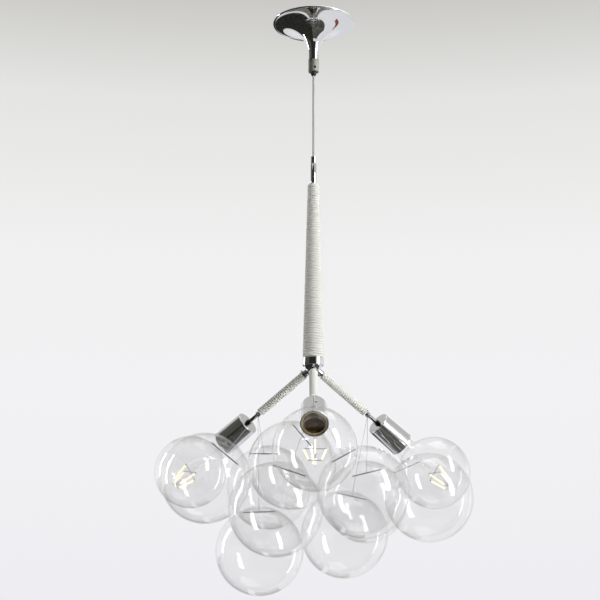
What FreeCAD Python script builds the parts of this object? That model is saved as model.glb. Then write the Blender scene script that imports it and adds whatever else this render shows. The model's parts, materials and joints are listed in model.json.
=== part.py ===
"""Cluster pendant: a trumpet canopy, a taut cord, a cord-wrapped stem, three arms with lamps
and nine clear glass globes that hang on lines from the arm ends.

Millimetres, +Z up. The origin is the centre of the ceiling bar's top face, against the ceiling,
and everything lies below it. The front arm points along -Y.
"""
import FreeCAD
import Part
import math
import os

from FreeCAD import Vector

# ---------------------------------------------------------------- driving dimensions
# Ceiling end
BAR_LENGTH = 96.0
BAR_WIDTH = 18.0
BAR_THICKNESS = 2.0
BAR_SLOT_SPACING = 70.0
BAR_SLOT_LENGTH = 16.0
BAR_SLOT_WIDTH = 4.6
HANG_TUBE_D = 10.0
HANG_TUBE_BORE = 6.6
BAR_NUT_FLATS = 14.0
BAR_NUT_THICKNESS = 4.0
TERMINAL_LENGTH = 16.0
TERMINAL_WIDTH = 10.5
TERMINAL_HEIGHT = 10.0
TERMINAL_GAP = 1.5
WIRE_D = 1.6
WIRE_DROP = 7.8
WIRE_SPREAD = 1.1
WIRE_IN_BLOCK = 5.0
EARTH_SCREW_D = 4.0
EARTH_HEAD_D = 7.0
EARTH_HEAD_HEIGHT = 2.4
EARTH_SCREW_X = -22.0

# Canopy
CANOPY_D = 146.0
CANOPY_LIP = 3.6
CANOPY_HEIGHT = 70.5
CANOPY_FLARE_HEIGHT = 58.0
CANOPY_WALL = 1.4
NECK_D = 18.4
COLLAR_LENGTH = 23.0
COLLAR_GROOVE_WIDTH = 0.8
COLLAR_GROOVE_DEPTH = 1.2
COLLAR_SPIGOT_D = 14.0
COLLAR_SPIGOT_LENGTH = 8.0
COLLAR_SCREW_D = 4.0
COLLAR_SCREW_HEIGHT = 7.0
COLLAR_SCREW_AZIMUTH = -75.0

# Cord and its ends
CORD_D = 3.9
CORD_FREE_LENGTH = 150.5
CORD_IN_FERRULE = 7.0
GLAND_HEAD_D = 9.6
GLAND_HEAD_LENGTH = 6.6
GLAND_SHANK_LENGTH = 10.0
FERRULE_D = 10.0
FERRULE_LENGTH = 12.0

# Hang-straight swivel below the cord
BALL_D = 6.6
BALL_NECK_D = 3.2
BALL_BORE = 1.6
LINER_WALL = 0.8
SWIVEL_GAP = 1.5
SWIVEL_TUBE_D = 10.4
SWIVEL_TUBE_LENGTH = 35.5
SWIVEL_SHOULDER = 4.7
SWIVEL_MOUTH_D = 5.6

# Stem
STEM_LENGTH = 306.5
STEM_TOP_D = 20.6
STEM_BOTTOM_D = 36.4
STEM_TUBE_D = 8.0
STEM_TUBE_BORE = 6.0
STEM_TUBE_IN_SWIVEL = 16.0

# Hub
RING_LENGTH = 13.6
RING_D = 36.4
HUB_NOSE_TOP_D = 30.0
HUB_NOSE_BOTTOM_D = 15.0
HUB_NOSE_LENGTH = 15.0
HUB_BORE = 11.0
HUB_CENTRE_DROP = 2.2
BOSS_D = 12.0
BOSS_REACH = 18.3
HUB_CAP_D = 13.0
HUB_CAP_HEIGHT = 4.0
HUB_PLUG_LENGTH = 3.0

# Arms, measured along each arm from the hub's centre
ARM_NAMES = ("left", "right", "front")
ARM_AZIMUTHS = (150.0, 30.0, 270.0)
ARM_SLOPE = 33.8
ARM_TUBE_D = 6.0
ARM_TUBE_BORE = 4.0
ARM_TUBE_START = 9.0
WRAP_CORD_D = 3.85
WRAP_PITCH = 4.3
ARM_WRAP_TURNS = 24
TIE_BEAD_D = 8.6
TIE_POINT = 130.0
LAMP_REACH = 295.0

# Lamp sockets, measured back from each lamp's centre
CUP_MOUTH = 82.0
CUP_LENGTH = 59.0
CUP_MOUTH_D = 43.6
CUP_BACK_D = 41.0
CUP_WALL = 1.5
CUP_LIP = 2.0
LOCK_NUT_FLATS = 8.5
LOCK_NUT_THICKNESS = 4.0
CUP_SCREW_D = 3.0
CUP_SCREW_HEAD_D = 5.0
CUP_SCREW_HEAD_HEIGHT = 1.2
CUP_SCREW_DEPTH = 3.5
CUP_SCREW_TURNS = (-100.0, 100.0, 10.0)
HOLDER_RECESS = 2.0
HOLDER_MOUTH_D = 34.6
HOLDER_MOUTH_DEPTH = 7.0
SHELL_D = 28.2
SHELL_WALL = 0.5
HOLDER_FLOOR = 7.0

# Lamps
LAMP_D = 125.0
LAMP_WALL = 0.8
LAMP_NECK_D = 33.0
LAMP_NECK_FILLET = 18.0
LAMP_NECK_END = 88.0
LAMP_CAP_D = 26.2
LAMP_CAP_LENGTH = 22.5
LAMP_TIP_D = 9.0
LAMP_TIP_LENGTH = 4.0
MOUNT_FOOT_D = 24.0
MOUNT_FOOT_LENGTH = 16.0
MOUNT_STEM_D = 4.5
MOUNT_TIP = -24.0
FILAMENT_COUNT = 4
FILAMENT_D = 2.2
FILAMENT_LENGTH = 36.0
FILAMENT_TOP_RADIUS = 17.0
FILAMENT_BOTTOM_RADIUS = 9.0
FILAMENT_TOP = 0.0
SUPPORT_WIRE_D = 1.0

# Globes
GLOBE_D = 145.0
GLOBE_WALL = 1.5
MOUTH_D = 20.0
MOUTH_LIP_HEIGHT = 2.5
TOGGLE_LENGTH = 54.0
TOGGLE_D = 2.0
LINE_D = 0.8

# Globe centres from the hub's centre, for globes of NOMINAL_GLOBE_D, and each toggle bar's turn
# about its own hanging line in degrees: name, arm that it hangs from, centre, turn.
NOMINAL_GLOBE_D = 145.0
GLOBES = (
    ("left_low", "left", (-88.0, 32.0, -302.0), 0.0),
    ("left_rear", "left", (-76.0, 125.0, -190.0), -16.0),
    ("left_fore", "left", (-173.5, -52.0, -190.0), 30.0),
    ("front_low", "front", (-59.0, -137.0, -245.0), 0.0),
    ("front_inner", "front", (-35.0, -13.0, -165.0), -56.0),
    ("front_side", "front", (78.0, -96.0, -215.0), -40.0),
    ("right_low", "right", (53.0, 59.0, -273.0), 20.0),
    ("right_rear", "right", (96.0, 184.0, -210.0), 20.0),
    ("right_fore", "right", (190.0, -2.0, -216.0), 14.0),
)

# Clearances
RUNNING = 0.05        # a shaft or ball that turns in its seat, on the radius
FIXED = 0.05          # pieces that are screwed, pushed or glued together, on the radius
CLEAR = 0.3           # pieces that must not touch while one of them moves

# ---------------------------------------------------------------- stations down the axis
BAR_BOTTOM = -BAR_THICKNESS
CANOPY_BOTTOM = -CANOPY_HEIGHT
COLLAR_TOP = CANOPY_BOTTOM
COLLAR_BOTTOM = COLLAR_TOP - COLLAR_LENGTH
GLAND_TOP = COLLAR_BOTTOM - CLEAR
GLAND_BOTTOM = GLAND_TOP - GLAND_HEAD_LENGTH
FERRULE_TOP = GLAND_BOTTOM - CORD_FREE_LENGTH
FERRULE_BOTTOM = FERRULE_TOP - FERRULE_LENGTH
SWIVEL_TOP = FERRULE_BOTTOM - SWIVEL_GAP
BALL_Z = SWIVEL_TOP - SWIVEL_SHOULDER
SWIVEL_BOTTOM = SWIVEL_TOP - SWIVEL_TUBE_LENGTH
STEM_BOTTOM = SWIVEL_BOTTOM - STEM_LENGTH
RING_BOTTOM = STEM_BOTTOM - RING_LENGTH
HUB_NOSE_BOTTOM = RING_BOTTOM - HUB_NOSE_LENGTH
HUB_CENTRE = Vector(0, 0, RING_BOTTOM - HUB_CENTRE_DROP)

WIRE_Z = BAR_BOTTOM - WIRE_DROP
CORD_TOP = WIRE_Z - WIRE_D / 2
TERMINAL_X = BAR_NUT_FLATS / math.sqrt(3) + TERMINAL_GAP
WRAP_RADIUS = ARM_TUBE_D / 2 + FIXED + WRAP_CORD_D / 2
WRAP_TAIL = WRAP_CORD_D * WRAP_PITCH / math.hypot(2 * math.pi * WRAP_RADIUS, WRAP_PITCH)
WRAP_START = BOSS_REACH + FIXED + WRAP_CORD_D / 2 + WRAP_TAIL
WRAP_END = WRAP_START + ARM_WRAP_TURNS * WRAP_PITCH + WRAP_TAIL + WRAP_CORD_D / 2
CUP_BACK = CUP_MOUTH + CUP_LENGTH
CAP_END = LAMP_NECK_END + LAMP_CAP_LENGTH + LAMP_TIP_LENGTH
HOLDER_FRONT = CUP_MOUTH + HOLDER_RECESS
HOLDER_SEAT = CAP_END + CLEAR
HOLDER_BACK = HOLDER_SEAT + HOLDER_FLOOR
CUP_SCREW_Z = (HOLDER_SEAT + HOLDER_BACK) / 2
GLOBE_R = GLOBE_D / 2
LAMP_R = LAMP_D / 2
LINER_BORE_R = BALL_D / 2 + RUNNING
LINER_R = LINER_BORE_R + LINER_WALL
SEAT_R = LINER_R + RUNNING

AXIS_Z = Vector(0, 0, 1)


# ---------------------------------------------------------------- helpers
def cylinder(radius, z_low, z_high):
    """A solid cylinder on the Z axis between two heights."""
    return Part.makeCylinder(radius, z_high - z_low, Vector(0, 0, z_low))


def tube(radius, bore_radius, z_low, z_high):
    """A plain tube on the Z axis between two heights."""
    return cylinder(radius, z_low, z_high).cut(cylinder(bore_radius, z_low, z_high))


def cone(radius_low, radius_high, z_low, z_high):
    """A truncated cone on the Z axis between two heights."""
    return Part.makeCone(radius_low, radius_high, z_high - z_low, Vector(0, 0, z_low))


def hexagon(flats, z_low, z_high):
    """A hexagonal prism on the Z axis, measured across its flats."""
    corner = flats / math.sqrt(3)
    points = []
    for i in range(7):
        angle = math.radians(60 * i)
        points.append(Vector(corner * math.cos(angle), corner * math.sin(angle), z_low))
    return Part.Face(Part.makePolygon(points)).extrude(Vector(0, 0, z_high - z_low))


def line(start, end):
    """A straight edge in the XZ half plane, each end given as (radius, height)."""
    return Part.LineSegment(Vector(start[0], 0, start[1]), Vector(end[0], 0, end[1])).toShape()


def arc(start, middle, end):
    """A circular edge in the XZ half plane through three points, as (radius, height)."""
    points = [Vector(p[0], 0, p[1]) for p in (start, middle, end)]
    return Part.Arc(points[0], points[1], points[2]).toShape()


def turned(edges):
    """A solid of revolution about Z from a closed outline in the XZ half plane."""
    face = Part.Face(Part.Wire(Part.__sortEdges__(edges)))
    return face.revolve(Vector(0, 0, 0), AXIS_Z, 360)


def on_circle(centre, radius, degrees):
    """The point (radius, height) of a circle in the XZ half plane."""
    angle = math.radians(degrees)
    return (centre[0] + radius * math.cos(angle), centre[1] + radius * math.sin(angle))


def placed(shape, base, direction, side, turn=0.0):
    """A copy of a shape moved to a point, its +Z along a direction and its +X nearest to a side."""
    spin = FreeCAD.Rotation(AXIS_Z, turn)
    aim = FreeCAD.Rotation(side, Vector(), direction, "ZXY")
    copy = shape.copy()
    copy.Placement = FreeCAD.Placement(base, aim.multiply(spin)).multiply(copy.Placement)
    return copy


def arm_direction(azimuth):
    """The unit vector that points out along an arm, down its slope."""
    a = math.radians(azimuth)
    s = math.radians(ARM_SLOPE)
    return Vector(math.cos(s) * math.cos(a), math.cos(s) * math.sin(a), -math.sin(s))


def arm_point(azimuth, distance):
    """The point at a distance from the hub's centre along an arm's axis."""
    return HUB_CENTRE + arm_direction(azimuth) * distance


def on_arm(shape, azimuth):
    """Move a shape modelled on +Z from the hub's centre on to an arm, with +X on its upper side."""
    return placed(shape, HUB_CENTRE, arm_direction(azimuth), AXIS_Z)


def at_lamp(shape, azimuth, turn=0.0):
    """Move a shape modelled at a lamp's centre, with +Z back to its socket, into place."""
    return placed(shape, arm_point(azimuth, LAMP_REACH), arm_direction(azimuth) * -1, AXIS_Z, turn)


# ---------------------------------------------------------------- ceiling end
def ceiling_bar():
    bar = Part.makeBox(BAR_LENGTH, BAR_WIDTH, BAR_THICKNESS,
                       Vector(-BAR_LENGTH / 2, -BAR_WIDTH / 2, BAR_BOTTOM))
    corners = [e for e in bar.Edges if abs(e.Length - BAR_THICKNESS) < 1e-6]
    bar = bar.makeFillet(BAR_WIDTH / 4, corners)
    bar = bar.cut(cylinder(HANG_TUBE_D / 2 + FIXED, BAR_BOTTOM, 0))
    for side in (-1, 1):
        x = side * BAR_SLOT_SPACING / 2
        half = (BAR_SLOT_LENGTH - BAR_SLOT_WIDTH) / 2
        slot = Part.makeBox(2 * half, BAR_SLOT_WIDTH, BAR_THICKNESS,
                            Vector(x - half, -BAR_SLOT_WIDTH / 2, BAR_BOTTOM))
        for end in (-half, half):
            slot = slot.fuse(Part.makeCylinder(BAR_SLOT_WIDTH / 2, BAR_THICKNESS,
                                               Vector(x + end, 0, BAR_BOTTOM)))
        bar = bar.cut(slot)
    return bar.cut(earth_hole())


def earth_hole():
    return Part.makeCylinder(EARTH_SCREW_D / 2 + FIXED, BAR_THICKNESS,
                             Vector(EARTH_SCREW_X, 0, BAR_BOTTOM))


def earth_screw():
    shank = Part.makeCylinder(EARTH_SCREW_D / 2, BAR_THICKNESS, Vector(EARTH_SCREW_X, 0, BAR_BOTTOM))
    head_base = Vector(EARTH_SCREW_X, 0, BAR_BOTTOM - EARTH_HEAD_HEIGHT)
    head = Part.makeCylinder(EARTH_HEAD_D / 2, EARTH_HEAD_HEIGHT, head_base)
    recess = Part.makeBox(EARTH_HEAD_D, 1.0, 1.2, head_base - Vector(EARTH_HEAD_D / 2, 0.5, 0))
    return head.fuse(shank).removeSplitter().cut(recess)


def bar_nut():
    nut = hexagon(BAR_NUT_FLATS, BAR_BOTTOM - BAR_NUT_THICKNESS, BAR_BOTTOM)
    return nut.cut(cylinder(HANG_TUBE_D / 2 + FIXED, BAR_BOTTOM - BAR_NUT_THICKNESS, BAR_BOTTOM))


def hanging_tube():
    """The threaded tube that carries everything, with a window for the wires near its top."""
    body = tube(HANG_TUBE_D / 2, HANG_TUBE_BORE / 2, COLLAR_BOTTOM, 0)
    window = Part.makeBox(HANG_TUBE_D, HANG_TUBE_BORE, TERMINAL_HEIGHT - BAR_NUT_THICKNESS,
                          Vector(0, -HANG_TUBE_BORE / 2, BAR_BOTTOM - TERMINAL_HEIGHT))
    return body.cut(window)


def way_centre(way):
    """The sideways place of one of the block's three ways."""
    return way * TERMINAL_WIDTH / 3


def terminal_block():
    """A three-way block against the bar, with a screw hole and a wire hole in each way."""
    bottom = BAR_BOTTOM - TERMINAL_HEIGHT
    block = Part.makeBox(TERMINAL_LENGTH, TERMINAL_WIDTH, TERMINAL_HEIGHT,
                         Vector(TERMINAL_X, -TERMINAL_WIDTH / 2, bottom))
    for way in (-1, 0, 1):
        wire_hole = Part.makeCylinder(WIRE_D / 2 + CLEAR, WIRE_IN_BLOCK + CLEAR,
                                      Vector(TERMINAL_X, way_centre(way), WIRE_Z), Vector(1, 0, 0))
        screw_hole = Part.makeCylinder(WIRE_D * 0.8, BAR_THICKNESS,
                                       Vector(TERMINAL_X + TERMINAL_LENGTH * 0.7, way_centre(way), bottom))
        block = block.cut(wire_hole).cut(screw_hole)
    return block


def suspension_cord():
    """The taut cord from the terminal block down to the ferrule, with its three short wires."""
    cord = cylinder(CORD_D / 2, FERRULE_TOP - CORD_IN_FERRULE, CORD_TOP)
    for way in (-1, 0, 1):
        start = Vector(0, way * WIRE_SPREAD, WIRE_Z)
        bend = Vector(TERMINAL_X - WIRE_D, way_centre(way), WIRE_Z)
        end = Vector(TERMINAL_X + WIRE_IN_BLOCK, way_centre(way), WIRE_Z)
        foot = start - Vector(0, 0, WIRE_D)
        for low, high in ((foot, start), (start, bend), (bend, end)):
            run = high - low
            cord = cord.fuse(Part.makeCylinder(WIRE_D / 2, run.Length, low, run))
            if high != end:
                cord = cord.fuse(Part.makeSphere(WIRE_D / 2, high))
    return cord


def cord_gland():
    """Screwed into the hanging tube's lower end, it grips the cord."""
    head = cone(GLAND_HEAD_D / 2 - 1.2, GLAND_HEAD_D / 2, GLAND_BOTTOM, GLAND_BOTTOM + 2.0)
    head = head.fuse(cylinder(GLAND_HEAD_D / 2, GLAND_BOTTOM + 2.0, GLAND_TOP))
    shank = cylinder(HANG_TUBE_BORE / 2 - FIXED, GLAND_TOP, COLLAR_BOTTOM + GLAND_SHANK_LENGTH)
    bore = cylinder(CORD_D / 2 + FIXED, GLAND_BOTTOM, COLLAR_BOTTOM + GLAND_SHANK_LENGTH)
    return head.fuse(shank).removeSplitter().cut(bore)


def cord_ferrule():
    body = cylinder(FERRULE_D / 2, FERRULE_BOTTOM, FERRULE_TOP)
    body = body.makeChamfer(0.8, [e for e in body.Edges if e.BoundBox.ZLength < 1e-6])
    body = body.cut(cylinder(CORD_D / 2 + FIXED, FERRULE_TOP - CORD_IN_FERRULE, FERRULE_TOP))
    neck_hole = cylinder(BALL_NECK_D / 2 + FIXED, FERRULE_BOTTOM, FERRULE_TOP - CORD_IN_FERRULE)
    return body.cut(neck_hole)


# ---------------------------------------------------------------- canopy
def flare_edge(inset):
    """A quarter ellipse from the rim to the neck: the trumpet's outline, inset by the wall."""
    neck_r = NECK_D / 2
    rim_z = -CANOPY_LIP
    low_z = rim_z - CANOPY_FLARE_HEIGHT
    major = CANOPY_D / 2 - CANOPY_LIP / 2 - neck_r
    centre = Vector(neck_r + major, 0, low_z)
    radius_x = major + inset
    radius_z = CANOPY_FLARE_HEIGHT + inset
    if radius_x > radius_z:
        ellipse = Part.Ellipse(centre + Vector(-radius_x, 0, 0), centre + Vector(0, 0, radius_z), centre)
    else:
        ellipse = Part.Ellipse(centre + Vector(0, 0, radius_z), centre + Vector(-radius_x, 0, 0), centre)
    top = centre + Vector(0, 0, radius_z)
    side = centre + Vector(-radius_x, 0, 0)
    first, last = sorted((ellipse.parameter(top), ellipse.parameter(side)))
    if last - first > math.pi:
        first, last = last, first + 2 * math.pi
    return ellipse.toShape(first, last), top, side


def canopy_shell():
    """The trumpet: one wall from a rolled rim down to a straight neck."""
    outer, outer_top, outer_side = flare_edge(0.0)
    inner, inner_top, inner_side = flare_edge(CANOPY_WALL)
    rim_r = CANOPY_D / 2
    lip_r = CANOPY_LIP / 2
    lip_centre = (rim_r - lip_r, -lip_r)
    spigot_r = COLLAR_SPIGOT_D / 2 + FIXED
    step_z = CANOPY_BOTTOM + COLLAR_SPIGOT_LENGTH
    inner_r = inner_side.x
    edges = [
        outer,
        line((outer_side.x, outer_side.z), (outer_side.x, CANOPY_BOTTOM)),
        line((outer_side.x, CANOPY_BOTTOM), (spigot_r, CANOPY_BOTTOM)),
        line((spigot_r, CANOPY_BOTTOM), (spigot_r, step_z)),
        line((spigot_r, step_z), (inner_r, step_z)),
        line((inner_r, step_z), (inner_r, inner_side.z)),
        inner,
        line((inner_top.x, inner_top.z), (rim_r - lip_r, 0)),
        arc((rim_r - lip_r, 0), on_circle(lip_centre, lip_r, 0), (outer_top.x, outer_top.z)),
    ]
    return turned(edges)


def canopy_collar():
    """The grip below the trumpet, with a spigot up into its neck and a groove at its top."""
    body = cylinder(NECK_D / 2, COLLAR_BOTTOM, COLLAR_TOP)
    body = body.makeChamfer(0.5, [e for e in body.Edges if e.BoundBox.ZMax < COLLAR_BOTTOM + 0.01])
    groove_low = COLLAR_TOP - COLLAR_GROOVE_WIDTH
    groove = tube(NECK_D / 2 + 1, NECK_D / 2 - COLLAR_GROOVE_DEPTH, groove_low, COLLAR_TOP)
    body = body.cut(groove)
    spigot = cylinder(COLLAR_SPIGOT_D / 2, COLLAR_TOP, COLLAR_TOP + COLLAR_SPIGOT_LENGTH - CLEAR)
    body = body.fuse(spigot).removeSplitter()
    body = body.cut(cylinder(HANG_TUBE_D / 2 + CLEAR, COLLAR_BOTTOM, COLLAR_TOP + COLLAR_SPIGOT_LENGTH))
    return body.cut(radial_pin(COLLAR_SCREW_D / 2 + FIXED, 0, NECK_D))


def radial_pin(radius, r_low, r_high):
    """A cylinder on the collar screw's axis between two distances from the cord."""
    a = math.radians(COLLAR_SCREW_AZIMUTH)
    out = Vector(math.cos(a), math.sin(a), 0)
    base = Vector(0, 0, COLLAR_BOTTOM + COLLAR_SCREW_HEIGHT) + out * r_low
    return Part.makeCylinder(radius, r_high - r_low, base, out)


def collar_screw():
    """A grub screw that presses on the hanging tube and holds the canopy up."""
    outer_end = NECK_D / 2 - 0.4
    screw = radial_pin(COLLAR_SCREW_D / 2, HANG_TUBE_D / 2 + 2 * RUNNING, outer_end)
    a = math.radians(COLLAR_SCREW_AZIMUTH)
    out = Vector(math.cos(a), math.sin(a), 0)
    base = Vector(0, 0, COLLAR_BOTTOM + COLLAR_SCREW_HEIGHT) + out * (outer_end - 1.5)
    return screw.cut(placed(hexagon(COLLAR_SCREW_D / 2, 0, 1.5), base, out, AXIS_Z))


# ---------------------------------------------------------------- swivel
def ball_stud():
    """A hollow ball under the ferrule, for the wires to pass."""
    ball = Part.makeSphere(BALL_D / 2, Vector(0, 0, BALL_Z))
    neck = cylinder(BALL_NECK_D / 2, BALL_Z, FERRULE_TOP - CORD_IN_FERRULE)
    bore = cylinder(BALL_BORE / 2, BALL_Z - BALL_D, FERRULE_TOP)
    return ball.fuse(neck).cut(bore)


def swivel_liner():
    """The cup round the ball: it turns about the cord, and the tube below tips about it."""
    shell = Part.makeSphere(LINER_R, Vector(0, 0, BALL_Z))
    shell = shell.cut(Part.makeSphere(LINER_BORE_R, Vector(0, 0, BALL_Z)))
    shell = shell.cut(cylinder(BALL_NECK_D / 2 + 2 * RUNNING, BALL_Z, SWIVEL_TOP))
    return shell.cut(cylinder(BALL_BORE / 2, BALL_Z - 2 * LINER_R, BALL_Z))


def swivel_tube():
    body = cylinder(SWIVEL_TUBE_D / 2, SWIVEL_BOTTOM, SWIVEL_TOP)
    body = body.makeChamfer(0.5, [e for e in body.Edges if e.BoundBox.ZMin > SWIVEL_TOP - 0.01])
    body = body.cut(Part.makeSphere(SEAT_R, Vector(0, 0, BALL_Z)))
    body = body.cut(cylinder(SWIVEL_MOUTH_D / 2, BALL_Z, SWIVEL_TOP))
    body = body.cut(cylinder(STEM_TUBE_BORE / 2, SWIVEL_BOTTOM, BALL_Z))
    socket_top = SWIVEL_BOTTOM + STEM_TUBE_IN_SWIVEL
    return body.cut(cylinder(STEM_TUBE_D / 2 + FIXED, SWIVEL_BOTTOM, socket_top))


# ---------------------------------------------------------------- stem and hub
def stem_tube():
    return tube(STEM_TUBE_D / 2, STEM_TUBE_BORE / 2, stem_tube_bottom(),
                SWIVEL_BOTTOM + STEM_TUBE_IN_SWIVEL)


def stem_tube_bottom():
    return STEM_BOTTOM - RING_LENGTH * 0.6


def stem_core():
    """The tapered former that the cord is wound on."""
    wrap = WRAP_CORD_D + FIXED
    body = cone(STEM_BOTTOM_D / 2 - wrap, STEM_TOP_D / 2 - wrap, STEM_BOTTOM, SWIVEL_BOTTOM)
    return body.cut(cylinder(STEM_TUBE_D / 2 + FIXED, STEM_BOTTOM, SWIVEL_BOTTOM))


def stem_wrap():
    """The winding on the stem as one tapered sleeve, its thickness the cord's diameter."""
    outer = cone(STEM_BOTTOM_D / 2, STEM_TOP_D / 2, STEM_BOTTOM, SWIVEL_BOTTOM)
    top_edge = [e for e in outer.Edges if e.BoundBox.ZMin > SWIVEL_BOTTOM - 0.01]
    outer = outer.makeFillet(WRAP_CORD_D / 2, top_edge)
    inner = cone(STEM_BOTTOM_D / 2 - WRAP_CORD_D, STEM_TOP_D / 2 - WRAP_CORD_D,
                 STEM_BOTTOM, SWIVEL_BOTTOM)
    return outer.cut(inner)


def hub():
    """Ring, nose and three bosses in one turned and drilled piece."""
    ring = cylinder(RING_D / 2, RING_BOTTOM, STEM_BOTTOM)
    ring = ring.makeFillet(0.8, [e for e in ring.Edges if e.BoundBox.ZLength < 1e-6])
    nose = cone(HUB_NOSE_BOTTOM_D / 2, HUB_NOSE_TOP_D / 2, HUB_NOSE_BOTTOM, RING_BOTTOM)
    body = ring.fuse(nose)
    for azimuth in ARM_AZIMUTHS:
        body = body.fuse(on_arm(cylinder(BOSS_D / 2, 0, BOSS_REACH), azimuth))
    body = body.cut(cylinder(HUB_BORE / 2, HUB_NOSE_BOTTOM, stem_tube_bottom()))
    body = body.cut(cylinder(STEM_TUBE_D / 2 + FIXED, stem_tube_bottom(), STEM_BOTTOM))
    for azimuth in ARM_AZIMUTHS:
        body = body.cut(on_arm(cylinder(ARM_TUBE_D / 2 + FIXED, 0, BOSS_REACH), azimuth))
    return body


def hub_cap():
    """The plug that closes the wiring space under the hub."""
    ball = Part.makeSphere(HUB_CAP_D / 2, Vector(0, 0, HUB_NOSE_BOTTOM))
    dome = ball.common(cylinder(HUB_CAP_D, HUB_NOSE_BOTTOM - HUB_CAP_HEIGHT, HUB_NOSE_BOTTOM))
    plug = cylinder(HUB_BORE / 2 - FIXED, HUB_NOSE_BOTTOM, HUB_NOSE_BOTTOM + HUB_PLUG_LENGTH)
    return dome.fuse(plug).removeSplitter()


# ---------------------------------------------------------------- arms
def arm_tube():
    """The tube through the winding: bare beyond it, with the bead that the lines are tied to."""
    tube_end = LAMP_REACH - CUP_BACK + CUP_WALL + LOCK_NUT_THICKNESS
    body = cylinder(ARM_TUBE_D / 2, ARM_TUBE_START, tube_end)
    body = body.fuse(Part.makeSphere(TIE_BEAD_D / 2, Vector(0, 0, TIE_POINT)))
    return body.cut(cylinder(ARM_TUBE_BORE / 2, ARM_TUBE_START, tube_end))


def helix_point(radius, turn, start, pitch):
    angle = 2 * math.pi * turn
    return Vector(radius * math.cos(angle), radius * math.sin(angle), start + pitch * turn)


def helix_tangent(radius, turn, pitch):
    angle = 2 * math.pi * turn
    rise = pitch / (2 * math.pi)
    tangent = Vector(-radius * math.sin(angle), radius * math.cos(angle), rise)
    return tangent.normalize()


def tangent_arc(start, tangent, end):
    """The arc that leaves a point along a tangent and ends at another point."""
    chord = end - start
    along = Vector(chord).normalize()
    side = (tangent - along * tangent.dot(along)).normalize()
    angle = math.acos(max(-1.0, min(1.0, tangent.dot(along))))
    middle = start + chord * 0.5 + side * (chord.Length / 2 * math.tan(angle / 2))
    return Part.Arc(start, middle, end).toShape()


def biarc(p0, t0, p1, t1):
    """Two arcs that join two points and share a tangent where they meet."""
    v = p1 - p0
    total = t0 + t1
    spread = 2 * (1 - t0.dot(t1))
    reach = (-v.dot(total) + math.sqrt(v.dot(total) ** 2 + spread * v.dot(v))) / spread
    joint = (p0 + t0 * reach + p1 - t1 * reach) * 0.5
    first = tangent_arc(p0, t0, joint)
    second = tangent_arc(p1, t1 * -1, joint)
    return first, second


def arm_wrap():
    """The cord wound on an arm: one unbroken tube, with straight ends one cord diameter long."""
    radius = WRAP_RADIUS
    steps = ARM_WRAP_TURNS * 4
    first_tangent = helix_tangent(radius, 0, WRAP_PITCH)
    first_point = helix_point(radius, 0, WRAP_START, WRAP_PITCH)
    tail = first_point - first_tangent * WRAP_CORD_D
    edges = [Part.LineSegment(tail, first_point).toShape()]
    for step in range(steps):
        t_low = step / 4
        t_high = (step + 1) / 4
        edges += biarc(helix_point(radius, t_low, WRAP_START, WRAP_PITCH),
                       helix_tangent(radius, t_low, WRAP_PITCH),
                       helix_point(radius, t_high, WRAP_START, WRAP_PITCH),
                       helix_tangent(radius, t_high, WRAP_PITCH))
    last_point = helix_point(radius, ARM_WRAP_TURNS, WRAP_START, WRAP_PITCH)
    last_tangent = helix_tangent(radius, ARM_WRAP_TURNS, WRAP_PITCH)
    edges.append(Part.LineSegment(last_point, last_point + last_tangent * WRAP_CORD_D).toShape())
    path = Part.Wire(edges)
    section = Part.Wire(Part.Circle(tail, first_tangent, WRAP_CORD_D / 2).toShape())
    return path.makePipeShell([section], True, False)


def winding_gap():
    """The least distance between neighbouring turns of an arm's winding, sampled on points."""
    radius = WRAP_RADIUS
    base = helix_point(radius, 0, 0, WRAP_PITCH)
    nearest = min((helix_point(radius, 0.5 + i / 720, 0, WRAP_PITCH) - base).Length for i in range(720))
    return nearest - WRAP_CORD_D


# ---------------------------------------------------------------- sockets
def socket_cup():
    """A slightly tapered cup with a flat back, a hole for the nipple and a rolled lip."""
    body = cone(CUP_MOUTH_D / 2, CUP_BACK_D / 2, CUP_MOUTH, CUP_BACK)
    body = body.makeFillet(1.2, [e for e in body.Edges if e.BoundBox.ZMin > CUP_BACK - 0.01])
    lip = cylinder(CUP_MOUTH_D / 2 + 0.4, CUP_MOUTH, CUP_MOUTH + CUP_LIP)
    lip = lip.makeFillet(CUP_LIP * 0.35, [e for e in lip.Edges if e.BoundBox.ZLength < 1e-6])
    body = body.fuse(lip).removeSplitter()
    inner = cone(CUP_MOUTH_D / 2 - CUP_WALL, CUP_BACK_D / 2 - CUP_WALL, CUP_MOUTH, CUP_BACK - CUP_WALL)
    body = body.cut(inner)
    body = body.cut(cylinder(ARM_TUBE_D / 2 + FIXED, CUP_BACK - CUP_WALL, CUP_BACK))
    return body.cut(screw_bore())


def cup_radius(z):
    """The cup's outside radius at a distance from the lamp's centre."""
    share = (z - CUP_MOUTH) / CUP_LENGTH
    return (CUP_MOUTH_D + (CUP_BACK_D - CUP_MOUTH_D) * share) / 2


def side_pin(radius, r_low, r_high):
    """A cylinder on the axis of a cup's side screw between two distances from the cup's axis."""
    return Part.makeCylinder(radius, r_high - r_low, Vector(r_low, 0, CUP_SCREW_Z), Vector(1, 0, 0))


def screw_bore():
    outside = cup_radius(CUP_SCREW_Z) + CUP_WALL
    return side_pin(CUP_SCREW_D / 2 + FIXED, outside - CUP_WALL * 2 - CUP_SCREW_DEPTH, outside)


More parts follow.
